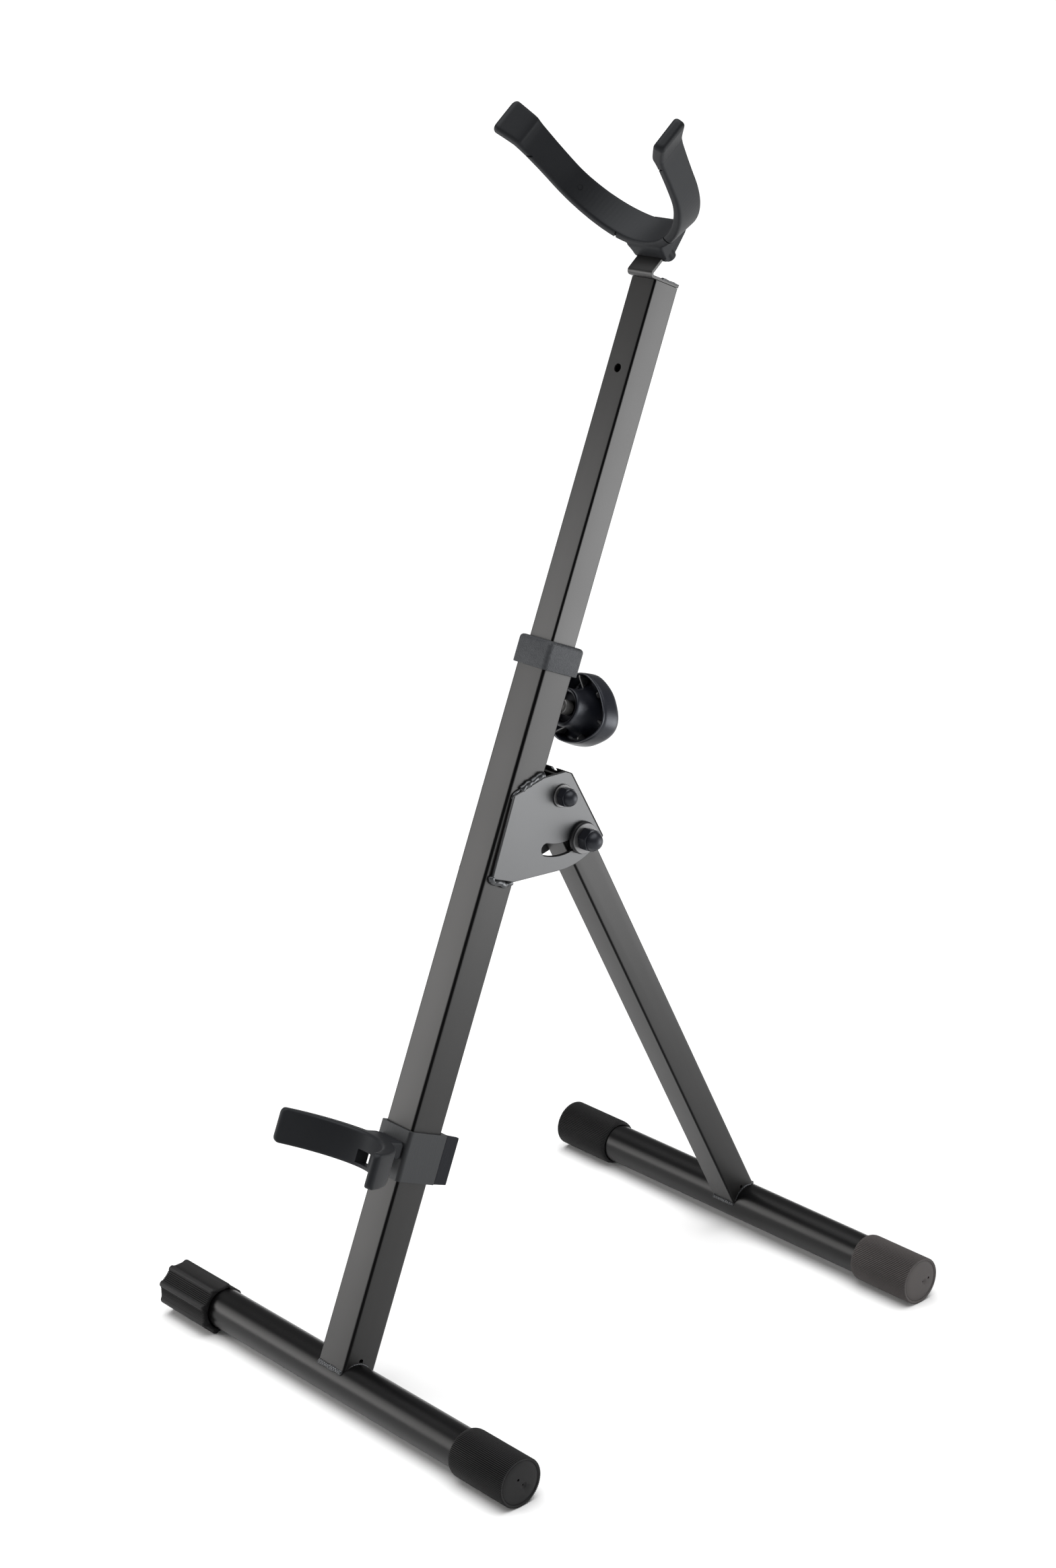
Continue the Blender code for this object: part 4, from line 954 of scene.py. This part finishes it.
def make_fork():
    inner = curve_between((0.0, -0.0405), (0.0165, -0.0405), (0.0375, -0.0560),
                          (0.0497, -0.0795), 60)
    outer = curve_between((0.0, -0.0290), (0.0215, -0.0290), (0.0460, -0.0490),
                          (0.0563, -0.0765), 60)
    half_path = [(Vector(a) + Vector(b)) / 2 for a, b in zip(inner, outer)]
    halves = [(m.x, (Vector(a) - Vector(b)).length / 2)
              for m, a, b in zip(half_path, inner, outer)]
    past = (half_path[-1] - half_path[-2]).normalized() * halves[-1][1]
    half_path.append(half_path[-1] + past)

    def thickness(point):
        return min(halves, key=lambda pair: abs(pair[0] - abs(point.x)))[1]

    waist = (FORK_BOTTOM + FORK_TOP) / 2
    path = [Vector((-p.x, p.y)) for p in half_path[:0:-1]] + half_path
    arms = swept_band(path, (FORK_TOP - FORK_BOTTOM) / 2, thickness, 0.0024, 0.0042,
                      lambda x, across, y: (x, y, waist + across))
    hub_outline = rounded_outline([(-0.0150, -0.0370), (0.0150, -0.0370),
                                   (0.0150, -SLEEVE_FRONT - FIT_GAP),
                                   (-0.0150, -SLEEVE_FRONT - FIT_GAP)],
                                  [0.0, 0.0, 0.0030, 0.0030])
    hub = prism(hub_outline, waist, FORK_TOP - 0.0002)
    rim = [e for e in hub.edges if abs(e.verts[0].co.z - e.verts[1].co.z) < 1e-6
           and max(e.verts[0].co.y, e.verts[1].co.y) > -0.0365]
    bmesh.ops.bevel(hub, geom=rim, offset=0.0024, segments=4, profile=0.5, affect="EDGES")
    window = prism([(-0.0070, -0.0600), (0.0070, -0.0600), (0.0070, -0.0200),
                    (-0.0070, -0.0200)], FORK_BOTTOM + 0.0030, waist)
    skin("support_fork", arms, SOFT, "lower_support", UPRIGHT, joins=[hub],
         cuts=[window, screw_bore()], voxel=0.0005, relax=9, smooth=60)


def make_sleeve():
    shell = rounded_outline([(-SLEEVE_HALF, -SLEEVE_FRONT), (SLEEVE_HALF, -SLEEVE_FRONT),
                             (SLEEVE_HALF, SLEEVE_BACK), (-SLEEVE_HALF, SLEEVE_BACK)],
                            [0.0032, 0.0032, 0.0008, 0.0008], 8)
    bore = OUTER_SIDE + 2 * FIT_GAP
    body = prism(shell, SUPPORT_BOTTOM, SUPPORT_TOP)
    cuts = [prism(rounded_square(bore, 0.0028), SUPPORT_BOTTOM - 0.010, SUPPORT_TOP + 0.010),
            screw_bore()]
    skin("support_sleeve", body, SLEEVE, "lower_support", UPRIGHT, cuts=cuts, rounding=0.0004,
         smooth=40)
    start = SLEEVE_BACK + FIT_GAP
    outer_x, inner_x, plate = 0.0168, 0.0133, 0.0028
    channel = rounded_outline([(-outer_x, start), (outer_x, start), (outer_x, CLIP_BACK),
                               (inner_x, CLIP_BACK), (inner_x, start + plate),
                               (-inner_x, start + plate), (-inner_x, CLIP_BACK),
                               (-outer_x, CLIP_BACK)],
                              [0.0004, 0.0004, 0.0014, 0.0010, 0.0012, 0.0012, 0.0010, 0.0014])
    clip = prism(channel, SUPPORT_BOTTOM + 0.0003, SUPPORT_TOP - 0.0003)
    middle = (SUPPORT_BOTTOM + SUPPORT_TOP) / 2
    for vertex in clip.verts:
        outward = max(0.0, (vertex.co.y - start - plate) / (CLIP_BACK - start - plate))
        vertex.co.z = middle + (vertex.co.z - middle) * (1.0 - 0.035 * outward ** 4)
    skin("leg_clip", clip, CLIP, "lower_support", UPRIGHT, rounding=0.0005, smooth=40)
    low = -OUTER_SIDE / 2 - 2 * FIT_GAP
    screw = [(0.0, -0.0296), (0.0016, -0.0296), (0.0018, -0.0292), (0.0018, low), (0.0, low)]
    skin("fork_screw", turned(screw, "Y", 48), ZINC, "lower_support",
         UPRIGHT @ moved(0.0, 0.0, SUPPORT_SCREW))


make_tubes()
make_foot_tubes()
make_saddle_welds()
make_round_caps()
make_levelling_cap()
make_bracket()
make_hinge_hardware()
make_collar()
make_knob()
make_clamp_screw()
make_tab()
make_cradle()
make_fork()
make_sleeve()
for node, paint in (("clamp_shoe", NYLON), ("mast_glide", NYLON), ("pivot_bush", ZINC),
                    ("lock_bush", ZINC)):
    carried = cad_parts[node]
    carried.data.materials.clear()
    carried.data.materials.append(paint)


# Floor, light and camera
def flat_square(name, half, paint):
    mesh = bmesh.new()
    bmesh.ops.create_grid(mesh, x_segments=1, y_segments=1, size=half)
    data = bpy.data.meshes.new(name)
    mesh.to_mesh(data)
    mesh.free()
    data.materials.append(paint)
    return linked(name, data)


def softbox(name, location, target, size, power, colour=(1.0, 1.0, 1.0)):
    """A soft rectangle of light that is aimed at the stand and spills little on the floor."""
    data = bpy.data.lights.new(name, "AREA")
    data.shape = "RECTANGLE"
    data.size, data.size_y = size
    data.energy = power
    data.color = colour
    data.spread = math.radians(75)
    made = linked(name, data)
    made.location = location
    aim = Vector(target) - Vector(location)
    made.rotation_euler = aim.to_track_quat("-Z", "Y").to_euler()


PAPER = material("floor_paper", (0.90, 0.90, 0.90), (0.92, 0.92, 0.92), (0.80, 0.90), 60.0,
                 0.0001, patch_scale=1.0)
FLOOR_HALF = 40.0
flat_square("floor", FLOOR_HALF, PAPER)

WORLD_STRENGTH = 0.18
world = bpy.data.worlds.new("studio")
bpy.context.scene.world = world
world.use_nodes = True
background = world.node_tree.nodes["Background"]
background.inputs["Color"].default_value = (1.0, 1.0, 1.0, 1.0)
background.inputs["Strength"].default_value = WORLD_STRENGTH

sky = bpy.data.lights.new("from_above", "SUN")
sky.energy = 3.7
sky.angle = math.radians(70)
linked("from_above", sky)
softbox("front_left", (-1.10, -1.15, 0.62), (0.0, -0.05, 0.30), (0.80, 1.05), 2.8,
        (1.0, 0.985, 0.97))
softbox("back_right", (0.66, 0.66, 0.36), (0.0, 0.05, 0.50), (0.75, 0.80), 2.0)

CAMERA_PLACE = (1.59706, -1.39659, 1.17156)
AZIMUTH, ELEVATION, ROLL = math.radians(48.961), math.radians(19.283), math.radians(-1.615)
LENS_MM, SENSOR_MM = 70.53, 36.0
forward = Vector((-math.sin(AZIMUTH) * math.cos(ELEVATION),
                  math.cos(AZIMUTH) * math.cos(ELEVATION), -math.sin(ELEVATION)))
level_right = Vector((math.cos(AZIMUTH), math.sin(AZIMUTH), 0.0))
level_up = level_right.cross(forward)
right = level_right * math.cos(ROLL) + level_up * math.sin(ROLL)
up = level_up * math.cos(ROLL) - level_right * math.sin(ROLL)
lens = bpy.data.cameras.new("camera")
lens.sensor_fit = "VERTICAL"
lens.sensor_height = SENSOR_MM
lens.lens = LENS_MM
camera = linked("camera", lens)
camera.matrix_world = moved(*CAMERA_PLACE) @ Matrix(
    ((right.x, up.x, -forward.x), (right.y, up.y, -forward.y),
     (right.z, up.z, -forward.z))).to_4x4()
bpy.context.scene.camera = camera
bpy.context.scene.view_settings.view_transform = "Standard"
